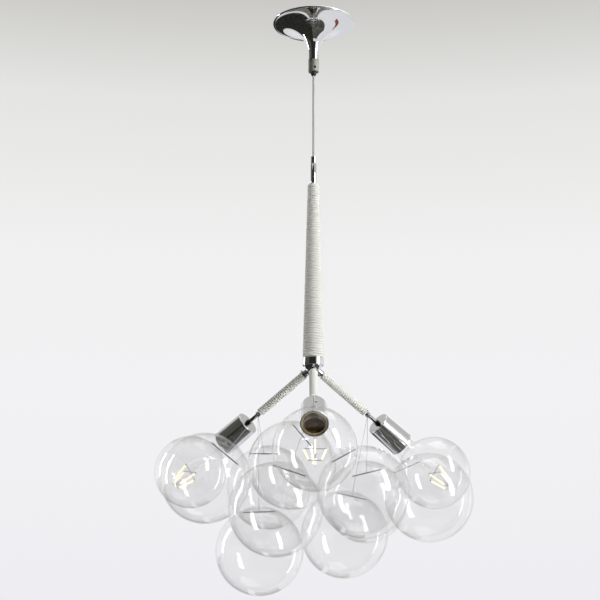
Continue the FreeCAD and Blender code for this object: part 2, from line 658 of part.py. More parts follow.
def cup_screw():
    """The side screw that holds the lampholder in its cup."""
    seat = cup_radius(CUP_SCREW_Z) + FIXED
    shank = side_pin(CUP_SCREW_D / 2, seat - CUP_WALL - CUP_SCREW_DEPTH, seat)
    head = side_pin(CUP_SCREW_HEAD_D / 2, seat, seat + CUP_SCREW_HEAD_HEIGHT)
    slot = Part.makeBox(CUP_SCREW_HEAD_HEIGHT, CUP_SCREW_D / 4, CUP_SCREW_HEAD_D * 2,
                        Vector(seat + CUP_SCREW_HEAD_HEIGHT / 2, -CUP_SCREW_D / 8,
                               CUP_SCREW_Z - CUP_SCREW_HEAD_D))
    return shank.fuse(head).removeSplitter().cut(slot)


def lock_nut_pair():
    """The nuts on the arm tube that clamp a cup's back between them."""
    inside = CUP_BACK - CUP_WALL
    solids = []
    for low, high in ((inside - LOCK_NUT_THICKNESS, inside), (CUP_BACK, CUP_BACK + LOCK_NUT_THICKNESS)):
        solids.append(hexagon(LOCK_NUT_FLATS, low, high).cut(cylinder(ARM_TUBE_D / 2 + FIXED, low, high)))
    return Part.makeCompound(solids)


def holder_radius(z):
    """The radius that fills the cup at a distance from the lamp's centre."""
    return cup_radius(z) - CUP_WALL - FIXED


def lampholder():
    """The insulating body in the cup, with a flared mouth and a floor for the centre contact."""
    body = cone(holder_radius(HOLDER_FRONT), holder_radius(HOLDER_BACK), HOLDER_FRONT, HOLDER_BACK)
    body = body.cut(cylinder(HOLDER_MOUTH_D / 2, HOLDER_FRONT, HOLDER_FRONT + HOLDER_MOUTH_DEPTH))
    body = body.cut(cylinder(SHELL_D / 2 + FIXED, HOLDER_FRONT, HOLDER_SEAT))
    for side in (-1, 1):
        way = Part.makeCylinder(WIRE_D, HOLDER_FLOOR, Vector(0, side * SHELL_D / 3, HOLDER_SEAT))
        body = body.cut(way)
    return body.cut(screw_bore())


def holder_shell():
    """The threaded metal shell that the lamp's cap screws into, drawn without its thread."""
    return tube(SHELL_D / 2, SHELL_D / 2 - SHELL_WALL, HOLDER_FRONT + HOLDER_MOUTH_DEPTH,
                HOLDER_SEAT - SHELL_WALL)


# ---------------------------------------------------------------- lamps
def bulb_outline(inset):
    """The envelope's outline from its far pole to the end of its neck, inset by the wall."""
    radius = LAMP_R - inset
    neck = LAMP_NECK_D / 2 - inset
    fillet = LAMP_NECK_FILLET + inset
    centre_r = neck + fillet
    centre_z = math.sqrt((radius + fillet) ** 2 - centre_r ** 2)
    angle = math.degrees(math.atan2(centre_z, centre_r))
    touch = on_circle((0, 0), radius, angle)
    middle = on_circle((0, 0), radius, (angle - 90) / 2)
    fillet_middle = on_circle((centre_r, centre_z), fillet, (angle + 180 + 180) / 2)
    neck_start = (neck, centre_z)
    edges = [
        arc((0, -radius), middle, touch),
        arc(touch, fillet_middle, neck_start),
        line(neck_start, (neck, LAMP_NECK_END)),
    ]
    return edges


def lamp_bulb():
    outer = bulb_outline(0.0)
    inner = bulb_outline(LAMP_WALL)
    neck = LAMP_NECK_D / 2
    closing = [
        line((neck, LAMP_NECK_END), (neck - LAMP_WALL, LAMP_NECK_END)),
        line((0, -LAMP_R), (0, -LAMP_R + LAMP_WALL)),
    ]
    return turned(outer + inner + closing)


def lamp_cap():
    """The screw cap: a skirt under the neck, the barrel, and the centre contact."""
    skirt = cone(LAMP_NECK_D / 2, LAMP_CAP_D / 2, LAMP_NECK_END, LAMP_NECK_END + 2.5)
    barrel = cylinder(LAMP_CAP_D / 2, LAMP_NECK_END + 2.5, LAMP_NECK_END + LAMP_CAP_LENGTH)
    tip_start = LAMP_NECK_END + LAMP_CAP_LENGTH
    tip = cone(LAMP_CAP_D / 2 - 2.0, LAMP_TIP_D / 2, tip_start, tip_start + LAMP_TIP_LENGTH)
    return skirt.fuse(barrel).fuse(tip).removeSplitter()


def rod(radius, start, end):
    """A round rod between two points."""
    return Part.makeCylinder(radius, (end - start).Length, start, end - start)


def lamp_filaments():
    """The glass mount, with a ring of straight filaments held by wires at both their ends."""
    foot_end = LAMP_NECK_END - MOUNT_FOOT_LENGTH
    body = cone(MOUNT_STEM_D / 2, MOUNT_FOOT_D / 2, foot_end, LAMP_NECK_END)
    body = body.fuse(cylinder(MOUNT_STEM_D / 2, MOUNT_TIP, foot_end)).removeSplitter()
    low = FILAMENT_TOP - FILAMENT_LENGTH
    body = body.fuse(rod(SUPPORT_WIRE_D / 2, Vector(0, 0, MOUNT_TIP), Vector(0, 0, low)))
    for i in range(FILAMENT_COUNT):
        a = math.radians(360 * i / FILAMENT_COUNT)
        out = Vector(math.cos(a), math.sin(a), 0)
        top_end = out * FILAMENT_TOP_RADIUS + Vector(0, 0, FILAMENT_TOP)
        low_end = out * FILAMENT_BOTTOM_RADIUS + Vector(0, 0, low)
        body = body.fuse(rod(FILAMENT_D / 2, top_end, low_end))
        body = body.fuse(rod(SUPPORT_WIRE_D / 2, Vector(0, 0, FILAMENT_TOP), top_end))
        body = body.fuse(rod(SUPPORT_WIRE_D / 2, Vector(0, 0, low), low_end))
    return body


# ---------------------------------------------------------------- globes
def globe():
    """A blown sphere with a round mouth and a short rolled lip, its mouth on +Z."""
    outer_r = GLOBE_R
    inner_r = GLOBE_R - GLOBE_WALL
    mouth_in = MOUTH_D / 2
    mouth_out = mouth_in + GLOBE_WALL
    outer_z = math.sqrt(outer_r ** 2 - mouth_out ** 2)
    inner_z = math.sqrt(inner_r ** 2 - mouth_in ** 2)
    outer_angle = math.degrees(math.atan2(outer_z, mouth_out))
    inner_angle = math.degrees(math.atan2(inner_z, mouth_in))
    lip_z = outer_z + MOUTH_LIP_HEIGHT
    edges = [
        arc((0, -outer_r), on_circle((0, 0), outer_r, (outer_angle - 90) / 2), (mouth_out, outer_z)),
        line((mouth_out, outer_z), (mouth_out, lip_z)),
        arc((mouth_out, lip_z), (mouth_in + GLOBE_WALL / 2, lip_z + GLOBE_WALL / 2), (mouth_in, lip_z)),
        line((mouth_in, lip_z), (mouth_in, inner_z)),
        arc((mouth_in, inner_z), on_circle((0, 0), inner_r, (inner_angle - 90) / 2), (0, -inner_r)),
        line((0, -inner_r), (0, -outer_r)),
    ]
    return turned(edges)


def toggle_height():
    """How far the bar lies above the globe's centre, just under the inside of the wall."""
    inner_r = GLOBE_R - GLOBE_WALL - CLEAR
    return math.sqrt(inner_r ** 2 - (TOGGLE_LENGTH / 2) ** 2) - TOGGLE_D / 2


def hanger(line_length):
    """The toggle bar across the inside of the mouth, and the line up from its middle."""
    bar = Part.makeCylinder(TOGGLE_D / 2, TOGGLE_LENGTH, Vector(-TOGGLE_LENGTH / 2, 0, toggle_height()),
                            Vector(1, 0, 0))
    base = toggle_height() + TOGGLE_D / 2
    return Part.makeCompound([bar, cylinder(LINE_D / 2, base, line_length)])


def globe_centre(offset):
    spread = GLOBE_D / NOMINAL_GLOBE_D
    return HUB_CENTRE + Vector(offset[0], offset[1], offset[2]) * spread


def tie_point(arm):
    return arm_point(ARM_AZIMUTHS[ARM_NAMES.index(arm)], TIE_POINT)


def line_end(centre, arm):
    """How far a line runs from a globe's centre: it stops just clear of the bead on the arm."""
    return (tie_point(arm) - centre).Length - TIE_BEAD_D / 2 - CLEAR


# ---------------------------------------------------------------- build
def all_parts():
    parts = {
        "ceiling_bar": ceiling_bar(),
        "earth_screw": earth_screw(),
        "bar_nut": bar_nut(),
        "hanging_tube": hanging_tube(),
        "terminal_block": terminal_block(),
        "suspension_cord": suspension_cord(),
        "cord_gland": cord_gland(),
        "cord_ferrule": cord_ferrule(),
        "ball_stud": ball_stud(),
        "canopy_shell": canopy_shell(),
        "canopy_collar": canopy_collar(),
        "collar_screw": collar_screw(),
        "swivel_liner": swivel_liner(),
        "swivel_tube": swivel_tube(),
        "stem_tube": stem_tube(),
        "stem_core": stem_core(),
        "stem_wrap": stem_wrap(),
        "hub": hub(),
        "hub_cap": hub_cap(),
    }
    tube_on_arm = arm_tube()
    wrap_on_arm = arm_wrap()
    cup = socket_cup()
    groups = {"lampholders": lampholder(), "holder_shells": holder_shell(),
              "lock_nuts": lock_nut_pair(), "cup_screws": cup_screw()}
    bulb = lamp_bulb()
    cap = lamp_cap()
    filaments = lamp_filaments()
    group_solids = {name: [] for name in groups}
    for name, azimuth, turn in zip(ARM_NAMES, ARM_AZIMUTHS, CUP_SCREW_TURNS):
        parts["arm_tube_" + name] = on_arm(tube_on_arm, azimuth)
        parts["arm_wrap_" + name] = on_arm(wrap_on_arm, azimuth)
        parts["socket_cup_" + name] = at_lamp(cup, azimuth, turn)
        parts["lamp_bulb_" + name] = at_lamp(bulb, azimuth)
        parts["lamp_cap_" + name] = at_lamp(cap, azimuth)
        parts["lamp_filaments_" + name] = at_lamp(filaments, azimuth)
        for group, shape in groups.items():
            group_solids[group] += at_lamp(shape, azimuth, turn).Solids
    for group, solids in group_solids.items():
        parts[group] = Part.makeCompound(solids)
    glass = globe()
    for name, arm, offset, turn in GLOBES:
        centre = globe_centre(offset)
        aim = tie_point(arm) - centre
        parts["globe_" + name] = placed(glass, centre, aim, Vector(1, 0, 0))
        parts["hanger_" + name] = placed(hanger(line_end(centre, arm)), centre, aim, Vector(1, 0, 0), turn)
    return parts


def report():
    print("stations:", {k: round(v, 2) for k, v in globals().items()
                        if k.endswith(("_TOP", "_BOTTOM")) and isinstance(v, float)})
    print("winding gap %.3f mm, turns %d, ends at %.1f mm" % (winding_gap(), ARM_WRAP_TURNS, WRAP_END))
    centres = [(g[0], globe_centre(g[2]), GLOBE_R) for g in GLOBES]
    lamps = [("lamp_" + n, arm_point(a, LAMP_REACH), LAMP_R) for n, a in zip(ARM_NAMES, ARM_AZIMUTHS)]
    gaps = []
    for i, (name, centre, radius) in enumerate(centres):
        for other, point, other_radius in centres[:i] + lamps:
            gaps.append(((centre - point).Length - radius - other_radius, name, other))
    print("nearest glass:", [(round(g, 2), a, b) for g, a, b in sorted(gaps)[:6]])


def main():
    os.makedirs("parts", exist_ok=True)
    for name, shape in all_parts().items():
        shape.exportStep("parts/%s.step" % name)
    report()


main()
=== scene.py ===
# %% [markdown]
# # A cluster pendant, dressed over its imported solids
# The lamp hangs from a chrome trumpet on a taut cord. Below it come a stem wound with cord, a
# metal hub, three wound arms with clear lamps, and nine glass globes on thin lines. The solids
# give every size and place. This script models the same pieces again with finer shapes, gives
# each one its finish, and sets up the camera and the light of the photograph.

# %% Load the frame and keep its box
import json
import math

import bpy
from mathutils import Matrix, Vector


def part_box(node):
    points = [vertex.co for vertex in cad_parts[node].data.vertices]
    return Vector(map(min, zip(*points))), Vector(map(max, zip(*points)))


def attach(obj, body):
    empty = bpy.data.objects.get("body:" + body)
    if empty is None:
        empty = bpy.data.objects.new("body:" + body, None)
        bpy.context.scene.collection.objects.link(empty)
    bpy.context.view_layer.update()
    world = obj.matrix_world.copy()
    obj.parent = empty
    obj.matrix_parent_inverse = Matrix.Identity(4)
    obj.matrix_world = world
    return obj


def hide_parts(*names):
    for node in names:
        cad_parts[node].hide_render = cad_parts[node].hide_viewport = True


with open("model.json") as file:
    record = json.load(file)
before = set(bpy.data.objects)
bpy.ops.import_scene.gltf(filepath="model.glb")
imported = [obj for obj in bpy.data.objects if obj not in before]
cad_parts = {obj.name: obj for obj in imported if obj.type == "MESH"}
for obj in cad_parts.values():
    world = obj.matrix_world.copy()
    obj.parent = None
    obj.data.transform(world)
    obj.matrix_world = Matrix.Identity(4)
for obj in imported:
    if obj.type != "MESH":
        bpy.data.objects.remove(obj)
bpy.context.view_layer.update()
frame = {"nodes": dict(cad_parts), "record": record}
cad_nodes = frame["nodes"]
bodies = frame["record"]["behaviour"]["bodies"]
MM = 0.001

# %% [markdown]
# Blender's shaders work in linear light, while a colour read from a photograph is sRGB. One
# function turns a hex value into the linear numbers that a socket wants, so every colour below
# can be written the way a paint chart gives it.

# %% Colour helper
def colour(text):
    """A #rrggbb colour as linear red, green, blue and alpha."""
    shares = [int(text[i:i + 2], 16) / 255 for i in (1, 3, 5)]
    return tuple(s / 12.92 if s <= 0.04045 else ((s + 0.055) / 1.055) ** 2.4 for s in shares) + (1.0,)


# %% [markdown]
# A material is a small graph. Adding a node, setting its sockets and linking it are three steps
# that are always the same, so one function does them for every kind of node. The full name of
# each kind begins with ShaderNode, which the function adds. Many finishes have a faint cloud or
# speckle: noise over the piece's own coordinates, and a ramp that turns it into colour.

# %% Node and material helpers
def add_node(tree, kind, values=None, links=None, **settings):
    """Add a node with its settings, the values of its sockets and the links into them."""
    new = tree.nodes.new("ShaderNode" + kind)
    for name, value in settings.items():
        setattr(new, name, value)
    for socket, value in (values or {}).items():
        new.inputs[socket].default_value = value
    for socket, source in (links or {}).items():
        tree.links.new(source, new.inputs[socket])
    return new


def new_material(name):
    """An empty material: its graph and its output node."""
    material = bpy.data.materials.new(name)
    material.use_nodes = True
    tree = material.node_tree
    tree.nodes.clear()
    return material, tree, add_node(tree, "OutputMaterial")


def object_noise(tree, scale, detail):
    """Noise over the piece's own coordinates, which are in metres."""
    place = add_node(tree, "TexCoord")
    return add_node(tree, "TexNoise", {"Scale": scale, "Detail": detail},
                    {"Vector": place.outputs["Object"]}).outputs["Fac"]


def ramp_colour(tree, value, *stops):
    """The colour that a ramp gives a value: each stop is a place and a hex colour."""
    ramp = add_node(tree, "ValToRGB", links={"Fac": value})
    points = ramp.color_ramp.elements
    while len(points) < len(stops):
        points.new(0.5)
    for point, (place, text) in zip(points, stops):
        point.position, point.color = place, colour(text)
    return ramp.outputs["Color"]


# %% [markdown]
# ## Camera
# The photograph was taken from about two metres away and from below the lamps, looking up by
# thirteen degrees. The lens was worked out from the ellipses of the canopy's rim and from the
# three lamps, which are all the same size. A camera object looks along its own -Z, so a tilt of
# 90 degrees about X is level and the rest looks up. The cord in the photograph leans by a third
# of a degree. The camera is rolled by 0.2, a part of that, so that both the canopy and the cups
# fall into their places in the picture.

# %% Camera at the photograph's place
bpy.ops.object.select_all(action="DESELECT")
bpy.ops.object.camera_add(location=(-0.0226, -2.15035, -0.9995), rotation=(math.radians(102.91), 0, 0))
camera = bpy.context.object
camera.name = "photo_camera"
camera.data.sensor_width = 36
camera.data.lens = 78
camera.rotation_euler.rotate_axis("Z", math.radians(0.2))
bpy.context.scene.camera = camera
print("camera looks up by", round(math.degrees(camera.rotation_euler.x) - 90, 2), "degrees")

# %% [markdown]
# ## The taut cord
# Between the black gland under the canopy and the metal ferrule, the braided cord carries the
# whole weight, so it is a straight line 150 mm long. A curve object is the natural way to make a
# cord, because its bevel gives the round section and its line stays the real centre line. The
# places of its ends come from the solids.

# %% Suspension cord
CORD_D = 3.9 * MM
cord_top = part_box("cord_gland")[0].z
cord_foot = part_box("cord_ferrule")[1].z


def nurbs_line(name, points, diameter, ring=3, along=2):
    """One open spline of order 3 through control points in metres, with a round section."""
    curve = bpy.data.curves.new(name, "CURVE")
    curve.dimensions = "3D"
    spline = curve.splines.new("NURBS")
    spline.points.add(len(points) - 1)
    for point, place in zip(spline.points, points):
        point.co = (*place, 1)
    spline.order_u = 3
    spline.use_endpoint_u = True
    spline.resolution_u = along
    curve.resolution_u = along
    curve.bevel_depth = diameter / 2
    curve.bevel_resolution = ring
    curve.use_fill_caps = True
    piece = bpy.data.objects.new(name, curve)
    bpy.context.scene.collection.objects.link(piece)
    return piece


cord_length = cord_top - cord_foot
cord_points = [(0, 0, cord_top - cord_length * share) for share in (0, 0.1, 0.37, 0.63, 0.9, 1)]
cord_curve = nurbs_line("taut_cord", cord_points, CORD_D, ring=6)


def centre_line(piece):
    """The points that Blender gives for a curve's own line, without its bevel."""
    bevel, piece.data.bevel_depth = piece.data.bevel_depth, 0
    bpy.context.view_layer.update()
    held = piece.evaluated_get(bpy.context.evaluated_depsgraph_get())
    mesh = bpy.data.meshes.new_from_object(held)
    points = [tuple(v.co) for v in mesh.vertices]
    bpy.data.meshes.remove(mesh)
    piece.data.bevel_depth = bevel
    return points


def meshed(curve):
    """A curve made a mesh, which keeps the UV map that runs along and round it."""
    bpy.ops.object.select_all(action="DESELECT")
    curve.select_set(True)
    bpy.context.view_layer.objects.active = curve
    bpy.ops.object.convert(target="MESH")
    bpy.ops.object.shade_smooth()
    return bpy.context.object


cord_path = centre_line(cord_curve)
taut_cord = meshed(cord_curve)
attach(taut_cord, "root")
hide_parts("suspension_cord")
print("cord, mm:", round(cord_length / MM, 1))

# %% [markdown]
# ## Room and light
# The picture is a studio shot: a white sweep behind the lamp that darkens to warm grey at the
# top, and soft light. The floor is a plain pale plane below the lamp; for the camera and for
# mirrors most of its colour is its own, as a lit sweep's is, and the rest takes the shadow. The
# sweep is drawn by the world, in two parts that the Light Path node keeps apart: rays from the
# camera, mirror rays and rays through glass see the sweep's colours, and all other rays see
# even, dimmer light.

# %% Floor
FLOOR_Z, FLOOR_SIZE = -1.35, 24
bpy.ops.mesh.primitive_grid_add(x_subdivisions=8, y_subdivisions=8, size=FLOOR_SIZE,
                                location=(0, 0, FLOOR_Z))
floor = bpy.context.object
floor.name = "studio_floor"
floor_paint, tree, output = new_material("pale_matt_floor_paint")
tone = ramp_colour(tree, object_noise(tree, 3.0, 3.0), (0.3, "#efeff0"), (0.7, "#f3f3f4"))
paint = add_node(tree, "BsdfPrincipled", {"Roughness": 0.9, "Specular IOR Level": 0.0},
                 {"Base Color": tone})
bright = add_node(tree, "Emission", {"Strength": 1.0}, {"Color": tone})
ray = add_node(tree, "LightPath")
mirrored = add_node(tree, "Math", {1: 0.9}, {0: ray.outputs["Is Glossy Ray"]}, operation="MULTIPLY")
part = add_node(tree, "Math", {1: 0.75}, {0: ray.outputs["Is Camera Ray"], 2: mirrored.outputs[0]},
                operation="MULTIPLY_ADD")
mixed = add_node(tree, "MixShader",
                 links={0: part.outputs[0], 1: paint.outputs[0], 2: bright.outputs[0]})
tree.links.new(mixed.outputs[0], output.inputs["Surface"])
floor.data.materials.append(floor_paint)

# %% World: the sweep for the camera and mirrors, even light for the rest
scene = bpy.context.scene
scene.view_settings.view_transform = "Standard"
world = bpy.data.worlds.new("studio_sweep")
world.use_nodes = True
scene.world = world
tree = world.node_tree
tree.nodes.clear()
direction = add_node(tree, "TexCoord")
height = add_node(tree, "SeparateXYZ", links={"Vector": direction.outputs["Generated"]})
sweep = ramp_colour(tree, height.outputs["Z"], (0.0, "#eeedf1"), (0.15, "#f2f2f4"), (0.26, "#f0f0f0"),
                    (0.37, "#e4e4e2"), (0.44, "#c9c8c4"))
backdrop = add_node(tree, "Background", {"Strength": 1.0}, {"Color": sweep})
even = add_node(tree, "Background", {"Strength": 0.24, "Color": colour("#f4f4f2")})
path = add_node(tree, "LightPath")
seen = add_node(tree, "Math", operation="MAXIMUM",
                links={0: path.outputs["Is Camera Ray"], 1: path.outputs["Is Glossy Ray"]})
shown = add_node(tree, "Math", links={0: seen.outputs[0], 1: path.outputs["Is Transmission Ray"]},
                 operation="MAXIMUM")
both = add_node(tree, "MixShader",
                links={0: shown.outputs[0], 1: even.outputs[0], 2: backdrop.outputs[0]})
add_node(tree, "OutputWorld", links={"Surface": both.outputs[0]})

# %% [markdown]
# Glass and chrome show the soft boxes themselves. Two tall ones give the long white highlights
# on the globes: the strong one stands on the right and above, as the bright right sides of the
# windings tell, and a weak one behind on the left draws edges. A third, weaker still, lights
# from above. None of them shows to the camera.

# %% Soft boxes
def soft_box(name, place, target, size, power):
    """A rectangular area lamp that faces a point."""
    bpy.ops.object.light_add(type="AREA", location=place)
    lamp = bpy.context.object
    lamp.name = name
    lamp.data.shape = "RECTANGLE"
    lamp.data.size, lamp.data.size_y = size
    lamp.data.energy = power
    lamp.rotation_euler = (Vector(target) - Vector(place)).to_track_quat("-Z", "Y").to_euler()
    lamp.visible_camera = False


soft_box("key_box", (1.9, -1.1, 0.1), (0, 0, -0.6), (0.5, 1.8), 44)
soft_box("edge_box", (-1.9, 0.7, -0.3), (0, 0, -0.7), (0.2, 1.4), 9)
soft_box("top_box", (0.5, 0.3, 0.9), (0, 0, -0.6), (1.0, 1.0), 5)

# %% [markdown]
# Polished metal is only as dark as what it mirrors. A photographer puts dark cards beside a
# chrome piece to draw its edges, and a studio mirrors in it anyway, here with an olive middle
# and a rust-brown streak in the canopy. These cards are seen by mirror rays alone, so they throw
# no shadow and don't show in any view. They have their own low brightness in place of a colour
# under light, so that no lamp changes it.

# %% Dark cards for the chrome
def card_felt(name, dark, light):
    """Felt on a card: one tone, mottled a little so that a mirror image of it isn't flat."""
    material, tree, output = new_material(name)
    tone = ramp_colour(tree, object_noise(tree, 4.0, 6.0), (0.35, dark), (0.65, light))
    felt = add_node(tree, "Emission", {"Strength": 1.0}, {"Color": tone})
    tree.links.new(felt.outputs[0], output.inputs["Surface"])
    return material


def settled(piece, matrix):
    """Put the selected piece in its place and write the place into its mesh."""
    piece.matrix_world = matrix
    bpy.ops.object.transform_apply(location=True, rotation=True, scale=True)
    return piece


def card(name, place, target, size, felt, turned=0.0):
    """A card that only mirror rays see, facing a point and turned in its own plane."""
    bpy.ops.mesh.primitive_plane_add(size=1)
    sheet = bpy.context.object
    sheet.name = name
    turn = (Vector(target) - Vector(place)).to_track_quat("Z", "Y").to_matrix().to_4x4()
    turn = turn @ Matrix.Rotation(math.radians(turned), 4, "Z")
    settled(sheet, Matrix.Translation(place) @ turn @ Matrix.Diagonal((*size, 1, 1)))
    sheet.data.materials.append(felt)
    for kind in ("camera", "diffuse", "transmission", "volume_scatter", "shadow"):
        setattr(sheet, "visible_" + kind, False)


felt_black = card_felt("card_felt_black", "#22231f", "#33342f")
felt_grey = card_felt("card_felt_grey_green", "#40403a", "#62615a")
felt_olive = card_felt("card_felt_olive", "#5f594d", "#8d887a")
felt_rust = card_felt("card_felt_rust", "#6b3226", "#9a5a46")
card("card_front", (-0.7, -3.2, 0.6), (-0.7, 0, 0.6), (5.2, 5.6), felt_black)
card("card_left", (-3.1, -0.9, 0.4), (0, -0.9, 0.4), (4.6, 5.0), felt_grey)
# The other four lie a centimetre or two above the floor and face up. The left one overlaps the
# front one, so it lies higher.
for name, (x, y), height, size, felt, turned in (
        ("card_floor_left", (-2.52, 0.9), 0.02, (4.6, 8.3), felt_black, 0.0),
        ("card_floor_middle", (-0.01, 2.85), 0.01, (0.28, 5.1), felt_olive, 0.0),
        ("card_floor_front", (-0.1, -0.95), 0.01, (3.4, 2.4), felt_grey, 0.0),
        ("card_floor_rust", (1.6, 2.6), 0.02, (0.26, 3.2), felt_rust, -34.0)):
    card(name, (x, y, FLOOR_Z + height), (x, y, 0), size, felt, turned)

# %% [markdown]
# ## Shaping tools
# Nearly every piece here was spun, turned or blown, so it has one outline all round its axis.
# By hand one would draw that outline as a chain of edges and spin it. The function does the
# same: a small plane is merged to one vertex, that vertex is extruded from corner to corner, and
# the Spin operator carries the chain round Z. Doubles are merged afterwards, which closes the
# poles and the seam, and then the normals are turned outwards.

# %% Spun outlines
SHARP = math.radians(35)  # edges that turn by more than this stay sharp


def bow(centre, radius, start, end, count=8):
    """Corners along an arc, from a start to an end angle in degrees."""
    angles = [math.radians(start + (end - start) * i / count) for i in range(count + 1)]
    return [(centre[0] + radius * math.cos(a), centre[1] + radius * math.sin(a)) for a in angles]


def only(piece):
    """Select this piece alone, because an operator acts on all that is selected."""
    bpy.ops.object.select_all(action="DESELECT")
    piece.select_set(True)
    bpy.context.view_layer.objects.active = piece


def spun(name, outline, steps=72):
    """A piece of revolution round Z, from an outline of (radius, height) in millimetres."""
    corners = [(r * MM, z * MM) for r, z in outline]
    bpy.ops.object.select_all(action="DESELECT")
    bpy.ops.mesh.primitive_plane_add(size=MM / 2, location=(corners[0][0], 0, corners[0][1]))
    piece = bpy.context.object
    piece.name = piece.data.name = name
    bpy.ops.object.mode_set(mode="EDIT")
    bpy.ops.mesh.select_all(action="SELECT")
    bpy.ops.mesh.merge(type="CENTER")
    for (r0, z0), (r1, z1) in zip(corners, corners[1:]):
        bpy.ops.mesh.extrude_region_move(TRANSFORM_OT_translate={"value": (r1 - r0, 0, z1 - z0)})
    bpy.ops.mesh.select_all(action="SELECT")
    bpy.ops.mesh.spin(steps=steps, angle=2 * math.pi, center=(0, 0, 0), axis=(0, 0, 1))
    bpy.ops.mesh.select_all(action="SELECT")
    bpy.ops.mesh.remove_doubles(threshold=0.02 * MM)
    bpy.ops.mesh.normals_make_consistent(inside=False)
    bpy.ops.object.mode_set(mode="OBJECT")
    bpy.ops.object.transform_apply(location=True, rotation=True, scale=True)
    bpy.ops.object.shade_smooth_by_angle(angle=SHARP)
    return piece


# %% [markdown]
# A piece that repeats is modelled once round Z and then copied to each place, each copy with
# its own mesh. The place is a matrix: +Z goes along a direction and +X as near as it can to a
# chosen side. Applying the transform puts the place into the mesh, as it is in the solids.

# %% Places, copies and finishing
def place_at(origin, direction, side=(0, 0, 1), turn=0.0):
    """Where a piece modelled on +Z goes; the origin is in millimetres."""
    z = Vector(direction).normalized()
    x = Vector(side)
    x = (x - z * x.dot(z)).normalized()
    matrix = Matrix((x, z.cross(x), z)).transposed().to_4x4()
    matrix.translation = Vector(origin) * MM
    return matrix @ Matrix.Rotation(math.radians(turn), 4, "Z")


def copied(piece, name, matrix):
    """A copy with its own mesh, its place put into the mesh."""
    only(piece)
    bpy.ops.object.duplicate(linked=False)
    copy = bpy.context.object
    copy.name = copy.data.name = name
    return settled(copy, matrix @ copy.matrix_world)


def removed(*pieces):
    """Delete pieces that have been copied to their places."""
    only(pieces[0])
    for piece in pieces[1:]:
        piece.select_set(True)
    bpy.ops.object.delete()


def joined(name, pieces):
    """Several meshes as one piece."""
    only(pieces[0])
    for piece in pieces[1:]:
        piece.select_set(True)
    bpy.ops.object.join()
    pieces[0].name = pieces[0].data.name = name
    return pieces[0]


def combined(piece, tool, operation):
    """Cut a tool out of a piece, or weld it on, with a Boolean that is then applied."""
    only(piece)
    step = piece.modifiers.new("combine", "BOOLEAN")
    step.operation = operation
    step.object = tool
    step.solver = "EXACT"
    bpy.ops.object.modifier_apply(modifier=step.name)
    only(tool)
    bpy.ops.object.delete()
    only(piece)
    bpy.ops.object.shade_smooth_by_angle(angle=SHARP)
    return piece


def body_with(node):
    """The name of the body that carries a CAD node."""
    return next(body for body, held in bodies.items() if node in held)


def dressed(piece, material, nodes, replace=True):
    """Give a piece its finish and its body, and let it stand for its CAD nodes."""
    nodes = [nodes] if isinstance(nodes, str) else nodes
    piece.data.materials.clear()
    piece.data.materials.append(material)
    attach(piece, body_with(nodes[0]))
    if replace:
        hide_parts(*nodes)
    return piece


def bar_between(name, start, end, diameter, sides=16):
    """A round bar with softened ends between two points in millimetres."""
    run = Vector(end) - Vector(start)
    r, soft = diameter / 2, diameter * 0.2
    piece = spun(name, [(0, 0), (r - soft, 0), (r, soft), (r, run.length - soft), (r - soft, run.length),
                        (0, run.length)], steps=sides)
    side = (1, 0, 0) if abs(run.normalized().z) > 0.9 else (0, 0, 1)
    return settled(piece, place_at(start, run, side))


# %% [markdown]
# ## Polished chrome
# Spun brass that is nickelled, polished and then chrome plated. It is nearly white, a mirror
# with a faint blue tint, and its only texture is a haze of fingerprints and polishing clouds a
# couple of centimetres wide, which shows as uneven sharpness in the reflections.

# %% Chrome
def plated(name, tint, low, high, cloud, grit=None):
    """A metal finish: a tint, roughness that clouds vary, and an optional fine grain."""
    material, tree, output = new_material(name)
    haze = add_node(tree, "MapRange", {"From Min": 0.3, "From Max": 0.7, "To Min": low, "To Max": high},
                    {"Value": object_noise(tree, 1 / (cloud * MM), 3.0)})
    shader = add_node(tree, "BsdfPrincipled", {"Metallic": 1.0, "Base Color": colour(tint)},
                      {"Roughness": haze.outputs["Result"]})
    if grit:
        relief = add_node(tree, "Bump", {"Strength": 0.12, "Distance": 0.05 * MM},
                          {"Height": object_noise(tree, 1 / (grit * MM), 2.0)})
        tree.links.new(relief.outputs["Normal"], shader.inputs["Normal"])
    tree.links.new(shader.outputs[0], output.inputs["Surface"])
    return material


chrome = plated("polished_chrome_plate", "#e4e5e8", 0.03, 0.09, 25)

# %% [markdown]
# ## Canopy
# The trumpet hides the ceiling bar and the wires. A real one is spun from a disc over a wooden
# chuck and its rim is rolled, so it is one thin wall: a quarter ellipse that runs into a
# straight neck. The outline goes up the outside, round the rolled rim and down the inside.

# %% Trumpet
RIM_R, NECK_Z, FLARE_WIDTH, FLARE_HEIGHT, SHEET = 71.2, -61.6, 62.0, 58.0, 1.4


def flare(grown):
    """The quarter ellipse from the neck out to the rim, its radii grown by a thickness."""
    angles = [math.radians(90 * i / 40) for i in range(41)]
    return [(RIM_R - (FLARE_WIDTH + grown) * math.cos(a), NECK_Z + (FLARE_HEIGHT + grown) * math.sin(a))
            for a in angles]


trumpet_outline = ([(7.05, -70.5), (8.9, -70.5), (9.2, -70.2)] + flare(0)
                   + bow((RIM_R, -1.8), 1.8, -80, 90, 12) + flare(SHEET)[::-1]
                   + [(7.8, -62.5), (7.05, -62.5), (7.05, -70.5)])
trumpet = spun("canopy_trumpet", trumpet_outline, steps=128)
dressed(trumpet, chrome, "canopy_shell")
print("trumpet faces:", len(trumpet.data.polygons))

# %% [markdown]
# ## Satin nickel
# The grip below the trumpet and the hidden fittings are turned from bar and left satin: the
# tool leaves rings a tenth of a millimetre apart, which blur the mirror into a soft grey sheen.

